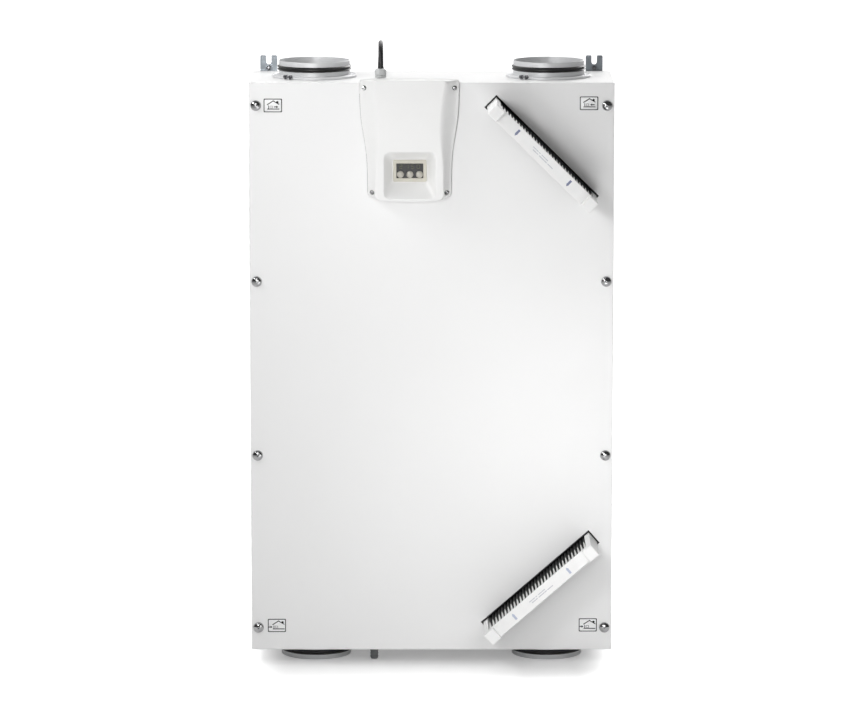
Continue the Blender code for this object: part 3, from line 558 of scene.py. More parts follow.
# ---------------------------------------------------------------- outlines with one point count
def outline(half, top, bottom, round_top, round_low, shift=0.0):
    """A closed (x, up) outline symmetric about x = shift; half, top and bottom are functions."""
    wide, low_wide = half(top(0)), half(bottom(0))
    edge, low_edge = wide - round_top, low_wide - round_low
    high, low = top(wide) - round_top, bottom(low_wide) + round_low
    right = [(edge * i / 7, top(edge * i / 7)) for i in range(1, 7)]
    right += bend((edge, top(edge)), (half(high), top(wide)), (half(high), high), 6)
    right += [(half(high + (low - high) * i / 24), high + (low - high) * i / 24) for i in range(1, 24)]
    right += bend((half(low), low), (half(low), bottom(low_wide)), (low_edge, bottom(low_edge)), 6)
    right += [(low_edge * i / 7, bottom(low_edge * i / 7)) for i in range(6, 0, -1)]
    points = [(0, top(0)), *right, (0, bottom(0)), *[(-x, up) for x, up in reversed(right)]]
    return [(x + shift, up) for x, up in points]


def rounded(half_x, low, high, radius, shift=0.0):
    """A rounded rectangle with the same point count as outline()."""
    return outline(lambda up: half_x, lambda x: high, lambda x: low, radius, radius, shift)


def ring_at(points, depth):
    return [(x, depth, up) for x, up in points]


def outer_half(up):
    """Half width of the control box: wide at the top, narrower below an S-curve."""
    return 0.079 + 0.007 * math.tanh((up - 0.408) / 0.040)


def crown_half(up):
    """Half width of the lid's raised middle."""
    rise = up - 0.4177
    if rise > 0:
        return 0.0545 + 0.0105 * (rise / 0.087) ** 2
    return 0.0545 + 0.0055 * (1 - math.exp(-(rise / 0.045) ** 2))


def shield(inset=0.0, half=outer_half, round_top=0.004, round_low=0.012):
    return outline(lambda up: half(up) - inset,
                   lambda x: BOX_TOP - inset - 0.0020 * (x / 0.086) ** 4,
                   lambda x: BOX_BOTTOM + inset + 0.006 * (x / 0.072) ** 2, round_top, round_low)


# ---------------------------------------------------------------- cover and casing
def slot_cutters():
    half_l, half_t = SLOT_L / 2, SLOT_T / 2
    return [bare("slot_cutter", box_mesh((-half_l, -0.01, -half_t), (half_l, 0.05, half_t)),
                 at(x, 0, up), slope) for x, up, slope in FILTERS.values()]


def screw_places():
    return [(side * SCREW_X, up) for side in (-1, 1) for up in SCREW_UPS]


def cover_sheet():
    """Folded sheet cover: rounded folds, a notch for the control box, two filter slots."""
    shell = soft_box((-HALF_W, 0, -HALF_H), (HALF_W, COVER_FOLD, HALF_H), 0.0017, 4, keep_rear=True)
    panel = bare("cover_sheet", shell, at(0, 0, 0))
    inner_x, inner_z = HALF_W - SHEET, HALF_H - SHEET
    hollow = bare("hollow", box_mesh((-inner_x, SHEET, -inner_z), (inner_x, 0.05, inner_z)), at(0, 0, 0))
    notch = [(x, up if up < 0.485 else 0.53) for x, up in shield(-0.0005)]
    opening = bare("notch", prism_mesh(notch, -0.01, 0.05), at(BOX_X, 0, 0))
    holes = bare("screw_holes", rods_mesh(0.0035, -0.01, 0.01, 32, "Y", screw_places()), at(0, 0, 0))
    slits = bmesh.new()                                # open corners of the folded edge
    for side in (-1, 1):
        for end in (-1, 1):
            x, up = side * (HALF_W - 0.0026), end * (HALF_H - 0.0024)
            merge_into(slits, box_mesh((x - 0.0032, 0.0030, up - 0.0002), (x + 0.0032, 0.05, up + 0.0002)))
    corner_slits = bare("slits", slits, at(0, 0, 0))
    cut(panel, hollow, opening, holes, corner_slits, *slot_cutters())
    finish_piece(panel, PAINT, "front_cover", ["front_panel"], weighted=True)


def casing():
    """Sheet steel box with a flange for the cover's screws and a riveted back."""
    shell = soft_box((-HALF_W, FLANGE_DEPTH, -HALF_H), (HALF_W, CASING_BACK, HALF_H), 0.0012, 3)
    box = bare("casing_box", shell, at(0, 0, 0))
    inner_x, inner_z = HALF_W - SHEET, HALF_H - SHEET
    open_x, open_z = HALF_W - FLANGE_W, HALF_H - FLANGE_W
    tools = [box_mesh((-inner_x, FLANGE_DEPTH + SHEET, -inner_z), (inner_x, CASING_BACK - SHEET, inner_z)),
             box_mesh((-open_x, 0, -open_z), (open_x, 0.06, open_z)),
             rods_mesh(0.0040, 0.02, 0.03, 24, "Y", screw_places()),
             rods_mesh(SPIGOT_R + 0.0006, -0.6, 0.6, ROUND, "Z",
                       [(side * SPIGOT_X, SPIGOT_DEPTH) for side in (-1, 1)]),
             rods_mesh(0.0078, -0.52, -0.49, 32, "Z", [(DRAIN_X, DRAIN_DEPTH)])]
    seam, width, sunk = 0.013, 0.0009, 0.0008          # joint line round the back sheet
    for low_x, low_z, high_x, high_z in (
            (-HALF_W + seam, -HALF_H + seam, -HALF_W + seam + width, HALF_H - seam),
            (HALF_W - seam - width, -HALF_H + seam, HALF_W - seam, HALF_H - seam),
            (-HALF_W + seam + width, HALF_H - seam - width, HALF_W - seam - width, HALF_H - seam),
            (-HALF_W + seam + width, -HALF_H + seam, HALF_W - seam - width, -HALF_H + seam + width)):
        tools.append(box_mesh((low_x, CASING_BACK - sunk, low_z), (high_x, CASING_BACK + 0.01, high_z)))
    cut(box, *[bare("casing_tool", tool, at(0, 0, 0)) for tool in tools])
    finish_piece(box, PAINT, "root", ["casing_shell"], weighted=True)
    rivets()


def rivets():
    """Blind rivets along the back's edges, and the rivet nuts that the cover's screws turn into."""
    dome = dome_points(0.0030, 0.0013, (0, 25, 50, 72))
    profile = ((0, -0.0006), (0.0030, -0.0006), *dome, (0.0008, 0.0013), (0.0007, 0.0009), (0, 0.0009))
    inset = 0.0065
    places = [(side * (HALF_W - inset), -0.44 + 0.11 * i) for side in (-1, 1) for i in range(9)]
    places += [(-0.24 + 0.12 * i, end * (HALF_H - inset)) for end in (-1, 1) for i in range(5)]
    matrices = [Matrix.Translation(at(x, CASING_BACK, up)) for x, up in places]
    piece("casing_rivets", copies_mesh(lambda: turned_mesh(profile, 20, "Y"), matrices), PAINT)
    ring = ((0.0042, -0.0004), (0.0066, -0.0004), (0.0070, 0.0), (0.0070, 0.0006), (0.0042, 0.0006))
    matrices = [Matrix.Translation(at(x, FLANGE_DEPTH, up)) for x, up in screw_places()]
    piece("flange_rivet_nuts", copies_mesh(lambda: turned_mesh(ring, 28, "Y"), matrices), MOTOR_ZINC)


def cover_screws():
    """Eight dome-headed captive screws with a small recess at the top of each dome."""
    radius, height, shank = 0.0092, 0.0062, 0.0028
    dome = dome_points(radius, -height, (0, 8, 17, 26, 35, 44, 53, 62, 70, 76), -GAP)
    top = dome[-1][1]
    profile = [(0, 0.0245), (shank - 0.0006, 0.0245), (shank, 0.0238), (shank, -GAP), *dome,
               (0.0016, top - 0.0001), (0.0013, top + 0.0005), (0.0011, top + 0.0016), (0, top + 0.0019)]
    first = None
    for side, word in ((-1, "left"), (1, "right")):
        for number, up in enumerate(SCREW_UPS, 1):
            name, nodes = f"{word}_dome_screw_{number}", [f"cover_screw_{word}_{number}"]
            place = at(side * SCREW_X, 0, up)
            if first:
                twin(first, name, place, nodes, "front_cover")
            else:
                first = piece(name, turned_mesh(profile, 64, "Y"), CHROME, "front_cover", nodes, place,
                              smooth=28)


def slot_gaskets():
    """Black rubber edging round each filter slot, with a rounded lip."""
    for name, (x, up, slope) in FILTERS.items():
        half_l, half_t = SLOT_L / 2 - GAP, SLOT_T / 2 - GAP
        clear_l, clear_t = FILTER_L / 2 + 0.0005, FILTER_T / 2 + 0.0005

        def band(grow, depth):
            wide, tall = clear_l + grow * (half_l - clear_l), clear_t + grow * (half_t - clear_t)
            return ring_at(rounded(wide, -tall, tall, 0.0012), depth)

        rings = [band(0, 0.0215), band(0, 0.0004), band(0.12, -0.0004), band(0.4, -0.0009),
                 band(0.7, -0.0009), band(0.95, -0.0003), band(1, 0.0004), band(1, 0.0215)]
        piece(f"{name}_slot_edging", loft_mesh(rings, wrap=True), RUBBER, "front_cover",
              [f"{name}_slot_gasket"], at(x, 0, up), slope)


# ---------------------------------------------------------------- pictogram labels
LABEL_W, LABEL_H, LABEL_R = 0.0322, 0.0240, 0.0018
LABEL_T, INK_T = 0.00012, 0.00008


def direction(start, end):
    """The unit vector between two (x, up) points."""
    run, rise = end[0] - start[0], end[1] - start[1]
    length = math.hypot(run, rise)
    return run / length, rise / length


def beside(point, along, reach):
    """The point that lies that far to the left of another, looking along the unit vector."""
    return point[0] - along[1] * reach, point[1] + along[0] * reach


def stroke(points, width):
    """A printed line through (x, up) points, as flat bars with square ends."""
    bm, half = bmesh.new(), width / 2
    for (x1, z1), (x2, z2) in zip(points, points[1:]):
        ux, uz = along = direction((x1, z1), (x2, z2))
        start, end = (x1 - ux * half, z1 - uz * half), (x2 + ux * half, z2 + uz * half)
        corners = [beside(start, along, half), beside(end, along, half),
                   beside(end, along, -half), beside(start, along, -half)]
        merge_into(bm, prism_mesh(corners, 0, INK_T))
    return bm


def arrow_mesh(tail, tip, width, head):
    """A printed arrow between two (x, up) points; head is its head's length."""
    ux, uz = along = direction(tail, tip)
    neck, half, wing = (tip[0] - ux * head, tip[1] - uz * head), width / 2, head * 0.6
    return prism_mesh([beside(tail, along, half), beside(neck, along, half), beside(neck, along, wing), tip,
                       beside(neck, along, -wing), beside(neck, along, -half), beside(tail, along, -half)],
                      0, INK_T)


def label_edge(inset):
    return rounded(LABEL_W / 2 - inset, -LABEL_H / 2 + inset, LABEL_H / 2 - inset, LABEL_R)


def pictogram(arrow, shift):
    """A house in a frame, with an arrow for the air that the duct next to it carries."""
    outer, inner = label_edge(0.0002), label_edge(0.0017)
    bm = loft_mesh([ring_at(outer, 0), ring_at(inner, 0), ring_at(inner, INK_T), ring_at(outer, INK_T)],
                   wrap=True)
    house = bmesh.new()
    for line, width in (
            (((-0.0092, 0.0016), (0.0007, 0.0080), (0.0104, 0.0022)), 0.0016),              # roof
            (((-0.0088, -0.0062), (0.0104, -0.0062)), 0.0016),                              # ground
            (((-0.0074, -0.0006), (-0.0074, -0.0058)), 0.0013),                             # wall
            (((-0.0050, -0.0010), (-0.0008, -0.0010), (-0.0008, -0.0044),
              (-0.0050, -0.0044), (-0.0050, -0.0010)), 0.0006)):                            # window
        merge_into(house, stroke(line, width))
    merge_into(house, prism_mesh(arc((0.0078, 0.0056), 0.0021, 0, 345, 23), 0, INK_T))      # chimney
    house.transform(Matrix.Translation((shift, 0, 0)))
    merge_into(bm, house)
    merge_into(bm, arrow_mesh(*arrow, 0.0017, 0.0036))
    return bm


def labels():
    """One pictogram label by each duct: which air it carries, without words."""
    spots = {
        "upper_left": ((-0.2740, 0.4602), 0.0, ((0.0018, -0.0025), (0.0096, -0.0025))),
        "upper_right": ((0.2720, 0.4640), 0.0, ((0.0096, -0.0025), (0.0018, -0.0025))),
        "lower_left": ((-0.2715, -0.4566), 0.0022, ((-0.0152, -0.0028), (-0.0074, -0.0028))),
        "lower_right": ((0.2745, -0.4556), 0.0022, ((-0.0152, -0.0028), (-0.0074, -0.0028)))}
    for name, ((x, up), shift, arrow) in spots.items():
        rings = [ring_at(label_edge(inset), depth)
                 for inset, depth in ((0, -0.00002), (0, -LABEL_T * 0.6), (0.00008, -LABEL_T))]
        piece(f"{name}_label", loft_mesh(rings), LABEL, "front_cover", place=at(x, 0, up))
        piece(f"{name}_pictogram", pictogram(arrow, shift), BLACK_INK, "front_cover",
              place=at(x, -LABEL_T - INK_T, up))


# ---------------------------------------------------------------- control box
def flank(t):
    """Height of the lid's flank, 0 at its rim and 1 at the raised middle."""
    return 0.8 * smooth_step(t) + 0.2 * t


def filled_between(bm, depth):
    """Closes the flat ring between the two open borders that lie at one depth."""
    border = [e for e in bm.edges
              if len(e.link_faces) == 1 and all(abs(v.co.y - depth) < 1e-6 for v in e.verts)]
    bmesh.ops.triangle_fill(bm, use_beauty=True, use_dissolve=False, edges=border)


def lid():
    """Lid with soft flanks and a flared well for the display, closed by its underside."""
    rim, crown = shield(0.0012), shield(0.0020, crown_half, 0.006, 0.009)
    shift, steps, under = DISPLAY_X - BOX_X, 18, BOX_FRONT + 0.0028
    outer = [ring_at(shield(0.0056, crown_half, 0.006, 0.008), under), ring_at(shield(0.0034), -0.0050),
             ring_at(shield(0.0026), BOX_SPLIT - GAP), ring_at(shield(), BOX_SPLIT - GAP),
             ring_at(shield(), -0.0046), ring_at(shield(0.0003), -0.0054), ring_at(shield(0.0008), -0.0059)]
    for i in range(steps + 1):
        t = i / steps
        between = [tuple(a[k] + (b[k] - a[k]) * t for k in range(2)) for a, b in zip(rim, crown)]
        outer.append(ring_at(between, -0.0060 + (BOX_FRONT + 0.0060) * flank(t)))
    outer.append(ring_at(shield(0.0034, crown_half, 0.006, 0.009), BOX_FRONT))

    def well(t, grow=0.0):
        """Well outline from its mouth (0) to its floor (1)."""
        half, low, high, radius = (a + (b - a) * t for a, b in zip(WELL_MOUTH, WELL_BASE))
        return rounded(half + grow, low - grow, high + grow, radius, shift)

    deep = WELL_FLOOR - BOX_FRONT
    inner = [ring_at(well(0, 0.0020), BOX_FRONT), ring_at(well(0, 0.0010), BOX_FRONT + 0.0001),
             ring_at(well(0, 0.0003), BOX_FRONT + 0.0005), ring_at(well(0.02), BOX_FRONT + 0.0012)]
    inner += [ring_at(well(t), BOX_FRONT + deep * t) for t in (0.15, 0.4, 0.7, 0.90)]
    inner += [ring_at(well(0.965), WELL_FLOOR - 0.0010), ring_at(well(1, -0.0006), WELL_FLOOR - 0.0002),
              ring_at(well(1, -0.0016), WELL_FLOOR)]
    gap_low, gap_high = DISPLAY_UP - 0.017, DISPLAY_UP + 0.017
    inner += [ring_at(rounded(0.027, gap_low, gap_high, 0.001, shift), depth)
              for depth in (WELL_FLOOR, BOX_SPLIT - GAP)]
    inner += [ring_at(well(1, 0.003), BOX_SPLIT - GAP), ring_at(well(0.3, 0.004), BOX_FRONT + 0.0085),
              ring_at(well(0, 0.0022), BOX_FRONT + 0.0040), ring_at(well(0, 0.0036), under)]
    bm = loft_mesh(outer, caps=False)
    merge_into(bm, loft_mesh(inner, caps=False))
    filled_between(bm, BOX_FRONT)
    filled_between(bm, under)
    cover = bare("control_lid", bm, at(BOX_X, 0, 0))
    pockets = bmesh.new()
    for x, up, top in lid_screw_places():
        pocket = turned_mesh(((0, -0.030), (0.0049, -0.030), (0.0044, top - 0.001), (0.0042, top + 0.0024),
                              (0, top + 0.0024)), 32, "Y")
        pocket.transform(Matrix.Translation((x, 0, up)))
        merge_into(pockets, pocket)
    cut(cover, bare("pockets", pockets, at(BOX_X, 0, 0)))
    finish_piece(cover, LID_WHITE, "root", ["control_box_lid"], smooth=42, weighted=True)


def lid_screw_places():
    """(x from the lid's middle, up, depth of the screw's top)."""
    return [(side * x, up, top) for x, up, top in ((0.0785, 0.4915, -0.0095), (0.0652, 0.3105, -0.0113))
            for side in (-1, 1)]


def lid_screws():
    """Pan-head screws sunk in the lid's corners."""
    profile = ((0, 0.0015), (0.0014, 0.0015), (0.0016, 0.0010), (0.0034, 0.0010), (0.0036, 0.0004),
               (0.0035, -0.0004), (0.0029, -0.0010), (0.0015, -0.0012), (0.0012, -0.0009),
               (0.0009, 0.0003), (0, 0.0005))
    matrices = [Matrix.Translation(at(BOX_X + x, top + 0.0012, up)) for x, up, top in lid_screw_places()]
    piece("lid_screws", copies_mesh(lambda: turned_mesh(profile, 28, "Y"), matrices), CHROME, smooth=30)


def bezel():
    """Cream frame round the window, rounded at its outer and inner edges."""
    def rim(half_x, half_z, radius, depth):
        return ring_at(rounded(half_x, -half_z, half_z, radius), depth)
    front, rear = WELL_FLOOR - 0.0018, WELL_FLOOR - 0.0002
    rings = [rim(0.0290, 0.0191, 0.0030, rear), rim(0.0290, 0.0191, 0.0030, front + 0.0007),
             rim(0.0286, 0.0187, 0.0028, front + 0.0001), rim(0.0279, 0.0180, 0.0024, front),
             rim(0.0242, 0.0137, 0.0014, front), rim(0.0236, 0.0131, 0.0012, front + 0.0003),
             rim(0.0232, 0.0127, 0.0010, front + 0.0009), rim(0.0232, 0.0127, 0.0010, rear)]
    piece("window_frame", loft_mesh(rings, wrap=True), CREAM, "root", ["display_bezel"],
          at(DISPLAY_X, 0, DISPLAY_UP))


SEGMENTS = {"0": "abcdef", "1": "bc", "2": "abged", "5": "afgcd", "8": "abcdefg"}


def digit_mesh(shape, x, z, width, height, thick):
    """One seven-segment digit with its lower left corner at (x, z)."""
    half = height / 2
    bars = {"a": (0, height, width, height), "b": (width, half, width, height),
            "c": (width, 0, width, half), "d": (0, 0, width, 0), "e": (0, 0, 0, half),
            "f": (0, half, 0, height), "g": (0, half, width, half)}
    bm = bmesh.new()
    for letter in SEGMENTS[shape]:
        x1, z1, x2, z2 = bars[letter]
        trim = thick * 0.62
        dx, dz = (trim, 0) if z1 == z2 else (0, trim)
        low = (x + x1 + dx - (thick / 2 if dz else 0), 0, z + z1 + dz - (thick / 2 if dx else 0))
        high = (x + x2 - dx + (thick / 2 if dz else 0), 0.0001, z + z2 - dz + (thick / 2 if dx else 0))
        merge_into(bm, box_mesh(low, high))
    return bm


def display():
    """Dark window with four dim digits, and the three domed buttons under them."""
    carry_over(WINDOW, "display_module")
    digits = bmesh.new()
    for number, shape in enumerate("2150"):
        merge_into(digits, digit_mesh(shape, -0.0178 + 0.0100 * number, 0.0038, 0.0048, 0.0068, 0.0009))
    piece("display_digits", digits, DIGITS, place=at(DISPLAY_X, WELL_FLOOR - 0.0001, DISPLAY_UP))
    top, stem = WELL_FLOOR - 0.0016, WELL_FLOOR + 0.0053
    dome = dome_points(BUTTON_R, -0.0016, (0, 15, 30, 45, 60, 75), top + 0.0014)
    profile = [(0, top - 0.0002), *reversed(dome), (BUTTON_R, stem), (BUTTON_R + 0.0008, stem),
               (BUTTON_R + 0.0008, stem + 0.0012), (0, stem + 0.0012)]
    first = None
    for number, word in enumerate(("left", "middle", "right"), 1):
        name, place = f"{word}_button_cap", at(DISPLAY_X + (number - 2) * BUTTON_PITCH, 0, BUTTON_UP)
        if first:
            twin(first, name, place, [f"button_{number}"], f"{word}_button")
        else:
            first = piece(name, turned_mesh(profile, 48, "Y"), BUTTON, f"{word}_button",
                          [f"button_{number}"], place)


def board_parts():
    """Small parts on the circuit board, in front of it."""
    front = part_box("circuit_board")[0].y
    bm = bmesh.new()
    for x, up, size in ((-0.050, 0.470, (0.016, 0.006, 0.012)), (-0.022, 0.470, (0.012, 0.0045, 0.012)),
                        (0.010, 0.465, (0.020, 0.0055, 0.010)), (0.042, 0.455, (0.010, 0.0075, 0.022)),
                        (-0.030, 0.425, (0.014, 0.0025, 0.014)), (0.012, 0.420, (0.010, 0.0020, 0.008))):
        half = [s / 2 for s in size]
        merge_into(bm, soft_box((BOX_X + x - half[0], front - size[1], MID_Z + up - half[2]),
                                (BOX_X + x + half[0], front - 0.00005, MID_Z + up + half[2]), 0.0004, 2))
    piece("board_components", bm, DARK)


# ---------------------------------------------------------------- gland, lead, coil and plug
def gland():
    seat = BOX_TOP + GAP
    low = BOX_TOP - 0.0038
    place = at(GLAND_X, GLAND_DEPTH, 0)

    def hexagon(angle, radius):
        wedge = (angle + math.pi / 6) % (math.pi / 3) - math.pi / 6
        return radius * min(1.0, 0.94 / math.cos(wedge)) if radius > 0.0085 else radius

    body = ((0, low), (0.0060, low), (0.0060, seat), (0.0096, seat), (0.0102, seat + 0.0005),
            (0.0102, seat + 0.0037), (0.0096, seat + 0.0042), (0, seat + 0.0042))
    piece("gland_seat", turned_mesh(body, 48, ribs=hexagon), LIGHT_GREY, "root", ["gland_body"], place,
          smooth=24)
    low = seat + 0.0042 + GAP

    def grip(angle, radius):
        if radius < 0.0088:
            return radius
        return radius - 0.00045 * max(0.0, math.cos(12 * angle)) ** 2

    nut = ((0, low), (0.0094, low), (0.0099, low + 0.0005), (0.0100, low + 0.0070), (0.0096, low + 0.0086),
           (0.0088, low + 0.0096), (0.0074, low + 0.0106), (0.0060, GLAND_TOP - 0.0006),
           (0.0052, GLAND_TOP), (0, GLAND_TOP))
    piece("gland_dome_nut", turned_mesh(nut, 120, ribs=grip), LIGHT_GREY, "root", ["gland_nut"], place,
          smooth=40)


def coil_point(turned):
    """A point on the coil, after turning by that many degrees from its leftmost point."""
    for (start, r1, z1), (end, r2, z2) in zip(COIL_KEYS, COIL_KEYS[1:]):
        if turned <= end:
            t = smooth_step((turned - start) / (end - start))
            radius, height = r1 + (r2 - r1) * t, z1 + (z2 - z1) * t
            break
    angle = math.pi - math.radians(turned)
    return COIL_CENTRE + Vector((radius * math.cos(angle), radius * math.sin(angle), height))


def lead_points():
    """The lead's whole line: the route, the coil's turns, and the last run to the plug."""
    route = [at(GLAND_X, depth, up) for depth, up in CORD_ROUTE]
    last = COIL_KEYS[-1][0]
    steps = 34                                     # 15 points a turn
    turns = [coil_point(last * i / steps) for i in range(steps + 1)]
    end = Vector((PLUG_START[0] + 0.010, FRONT_Y + PLUG_START[1], PLUG_R + 0.0005))
    start = turns[-1]
    run = [start.lerp(end, 0.36) + Vector((0, 0.0003, 0.0007)), start.lerp(end, 0.70), end]
    return route + turns + run


def through(points):
    """The tangent at each point of a smooth curve through all of them."""
    ends = [points[0] * 2 - points[1], *points, points[-1] * 2 - points[-2]]
    return [(after - before) / 2 for before, after in zip(ends, ends[2:])]


def dense_line(points, steps=12):
    """Close points on the same curve, for pieces that follow the lead."""
    tangents, line = through(points), []
    for p, q, s, t in zip(points, points[1:], tangents, tangents[1:]):
        for i in range(steps):
            u = i / steps
            line.append(p * (2 * u ** 3 - 3 * u ** 2 + 1) + s * (u ** 3 - 2 * u ** 2 + u)
                        + q * (3 * u ** 2 - 2 * u ** 3) + t * (u ** 3 - u ** 2))
    return line + [points[-1]]


def sleeve_mesh(line, radii, segments=32):
    """A tube with its own radius at each point of a line, closed at both ends."""
    rings = []
    side = Vector((1, 0, 0))
    for i, (point, radius) in enumerate(zip(line, radii)):
        ahead = (line[min(i + 1, len(line) - 1)] - line[max(i - 1, 0)]).normalized()
        side = (side - ahead * side.dot(ahead)).normalized()
        across = ahead.cross(side)
        rings.append([point + radius * (side * math.cos(2 * math.pi * k / segments)
                                        + across * math.sin(2 * math.pi * k / segments))
                      for k in range(segments)])
    return loft_mesh(rings)


def power_lead():
    points = lead_points()
    curve = bpy.data.curves.new("power_lead", "CURVE")
    curve.dimensions = "3D"
    curve.bevel_depth = CORD_R
    curve.bevel_resolution = 6
    curve.resolution_u = 8
    curve.use_fill_caps = True
    spline = curve.splines.new("BEZIER")
    spline.bezier_points.add(len(points) - 1)
    for knot, point, tangent in zip(spline.bezier_points, points, through(points)):
        knot.handle_left_type = knot.handle_right_type = "FREE"
        knot.co = point
        knot.handle_left, knot.handle_right = point - tangent / 3, point + tangent / 3
    curve.materials.append(SHEATH.material)
    lead = shown("power_lead", curve)
    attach(lead, "root")
    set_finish(lead, SHEATH.slot)
    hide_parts("power_cord", "cord_coil")
    line = dense_line(points)
    boot = strain_relief(line)
    tie = coil_tie()
    plug = mains_plug()


def strain_relief(line):
    """Tapered rubber boot on the lead where it leaves the gland."""
    start = line[0]
    kept = [p for p in line if (p - start).length < 0.019 and p.z < start.z + 0.02][:40]
    below = [start - Vector((0, 0, 0.004)), start - Vector((0, 0, 0.0015))]
    path = below + kept
    run = [0.0]
    for a, b in zip(path, path[1:]):
        run.append(run[-1] + (b - a).length)
    radii = [CORD_R + 0.0009 * (1 - s / run[-1]) + 0.00018 * (1 if int(s / 0.0016) % 2 else 0) + 0.0001
             for s in run]
    return piece("lead_boot", sleeve_mesh(path, radii), SHEATH, smooth=50)


def coil_tie():
    """Flat band round the turns of the coil, at the side that faces away from the plug."""
    turned, width, thick = 200.0, 0.010, 0.0004
    angle = math.pi - math.radians(turned)
    outward = Vector((math.cos(angle), math.sin(angle), 0))
    along = Vector((-outward.y, outward.x, 0))
    low, high = 0.0385 - CORD_R - 0.0002, 0.0476 + CORD_R + 0.0002
    rings = []
    for grow, side in ((0, -1), (thick, -1), (thick, 1), (0, 1)):
        loop = rounded((high - low) / 2 + grow, 0.0006 - grow, 0.0092 + grow, 0.0040 + grow,
                       (high + low) / 2)
        rings.append([COIL_CENTRE + outward * r + Vector((0, 0, z)) + along * (side * width / 2)
                      for r, z in loop])
    return piece("coil_tie", loft_mesh(rings, wrap=True), RUBBER)


def mains_plug():
    """Two-pin plug on its side: ribbed cable end, grip with finger grooves, and pins with sleeves."""
    place = Vector((PLUG_START[0], FRONT_Y + PLUG_START[1], PLUG_R + 0.0003))
    turn = Matrix.Rotation(math.pi / 2, 4, "Y")

    def grooves(angle, radius):
        return radius - 0.0006 * max(0.0, math.cos(14 * angle)) if radius > 0.0150 else radius

    body = [(0, -0.0080), (0.0047, -0.0080)]
    for i in range(7):
        low = -0.0080 + i * 0.0030
        wide = 0.0049 + i * 0.0003
        body += [(wide, low + 0.0001), (wide, low + 0.0018), (wide - 0.0007, low + 0.0020),
                 (wide - 0.0007, low + 0.0028)]
    body += [(0.0072, 0.0132), (0.0118, 0.0148), (0.0142, 0.0172), (0.0158, 0.0205), (0.0163, 0.0240),
             (0.0160, 0.0300), (0.0163, 0.0385), (0.0165, 0.0400), (0.0163, 0.0425), (0.0154, 0.0440),
             (0, 0.0440)]
    shell = turned_mesh(body, 112, ribs=grooves)
    shell.transform(turn)
    shape = piece("plug_body", shell, DARK, "root", ["mains_plug"], place, smooth=38)
    sleeve = ((0, 0.040), (0.0024, 0.040), (0.0024, 0.0530), (0, 0.0530))
    pin = ((0, 0.0525), (0.0022, 0.0525), (0.0022, 0.0618), (0.0017, 0.0626), (0.0009, 0.0630), (0, 0.0630))
    shifts = [turn @ Matrix.Translation((0, side * 0.0095, 0)) for side in (-1, 1)]
    sleeves = piece("plug_pin_sleeves", copies_mesh(lambda: turned_mesh(sleeve, 24), shifts), DARK,
                    place=place, smooth=38)
    pins = piece("plug_pins", copies_mesh(lambda: turned_mesh(pin, 24), shifts), CHROME, place=place,
                 smooth=38)
    return shape, sleeves, pins


# ---------------------------------------------------------------- filters
def filter_cassettes():
    for name in FILTERS:
        filter_frame(name)
        filter_pleats(name)
        filter_print(name)


def filter_frame(name):
    """Folded card frame with two grips standing out of its front strip."""
    x, up, slope = FILTERS[name]
    half_l, half_t = FILTER_L / 2, FILTER_T / 2
    tip = -FILTER_OUT
    face, rear = tip + GRIP_H, tip + GRIP_H + FILTER_D
    card = soft_box((-half_l, face, -half_t), (half_l, rear, half_t), 0.0006)
    frame_obj = bare(f"{name}_filter_card", card, at(x, 0, up), slope)
    window = box_mesh((-half_l + RIM_SIDE, face + RIM_FRONT, -0.02),
                      (half_l - RIM_SIDE, rear - RIM_FRONT, 0.02))
    cut(frame_obj, bare("window", window, at(x, 0, up), slope))
    finish_piece(frame_obj, CARD, f"{name}_filter", [f"{name}_filter_frame"], weighted=True)
    grips = bmesh.new()
    for side in (-1, 1):
        low_u, high_u = sorted((side * (half_l - GRIP_L), side * half_l))
        merge_into(grips, soft_box((low_u, tip, -half_t + 0.0002), (high_u, face + 0.0006, half_t - 0.0002),
                                   0.0014, 4, keep_rear=True))
    piece(f"{name}_filter_grips", grips, CARD, f"{name}_filter", place=at(x, 0, up), slope=slope,
          weighted=True)


def filter_pleats(name):
    """Zigzag of filter fleece with its crests just below the frame's rims."""
    x, up, slope = FILTERS[name]
    face = -FILTER_OUT + GRIP_H
    reach = FILTER_L / 2 - RIM_SIDE - GAP
    folds, tall, half = 32, PLEAT_TALL, 0.00035
    pitch = reach / folds
    middle = []
    for i in range(2 * folds + 1):
        u, sign = -reach + pitch * i, (1 if i % 2 else -1)
        if i in (0, 2 * folds):
            middle.append((u, sign * tall))
        else:
            middle += [(u - pitch * 0.22, sign * (tall - 0.0010)), (u - pitch * 0.08, sign * tall),
                       (u + pitch * 0.08, sign * tall), (u + pitch * 0.22, sign * (tall - 0.0010))]
    sheet = [(u - half, n) for u, n in middle] + [(u + half, n) for u, n in reversed(middle)]
    sheet[0], sheet[-1] = (-reach, middle[0][1]), (-reach + 2 * half, middle[0][1])
    depths = (face + RIM_FRONT + GAP, face + FILTER_D - RIM_FRONT - GAP)
    piece(f"{name}_filter_fleece", prism_mesh(sheet, *depths), PLEATS, f"{name}_filter",
          [f"{name}_filter_pleats"], at(x, 0, up), slope, smooth=25)


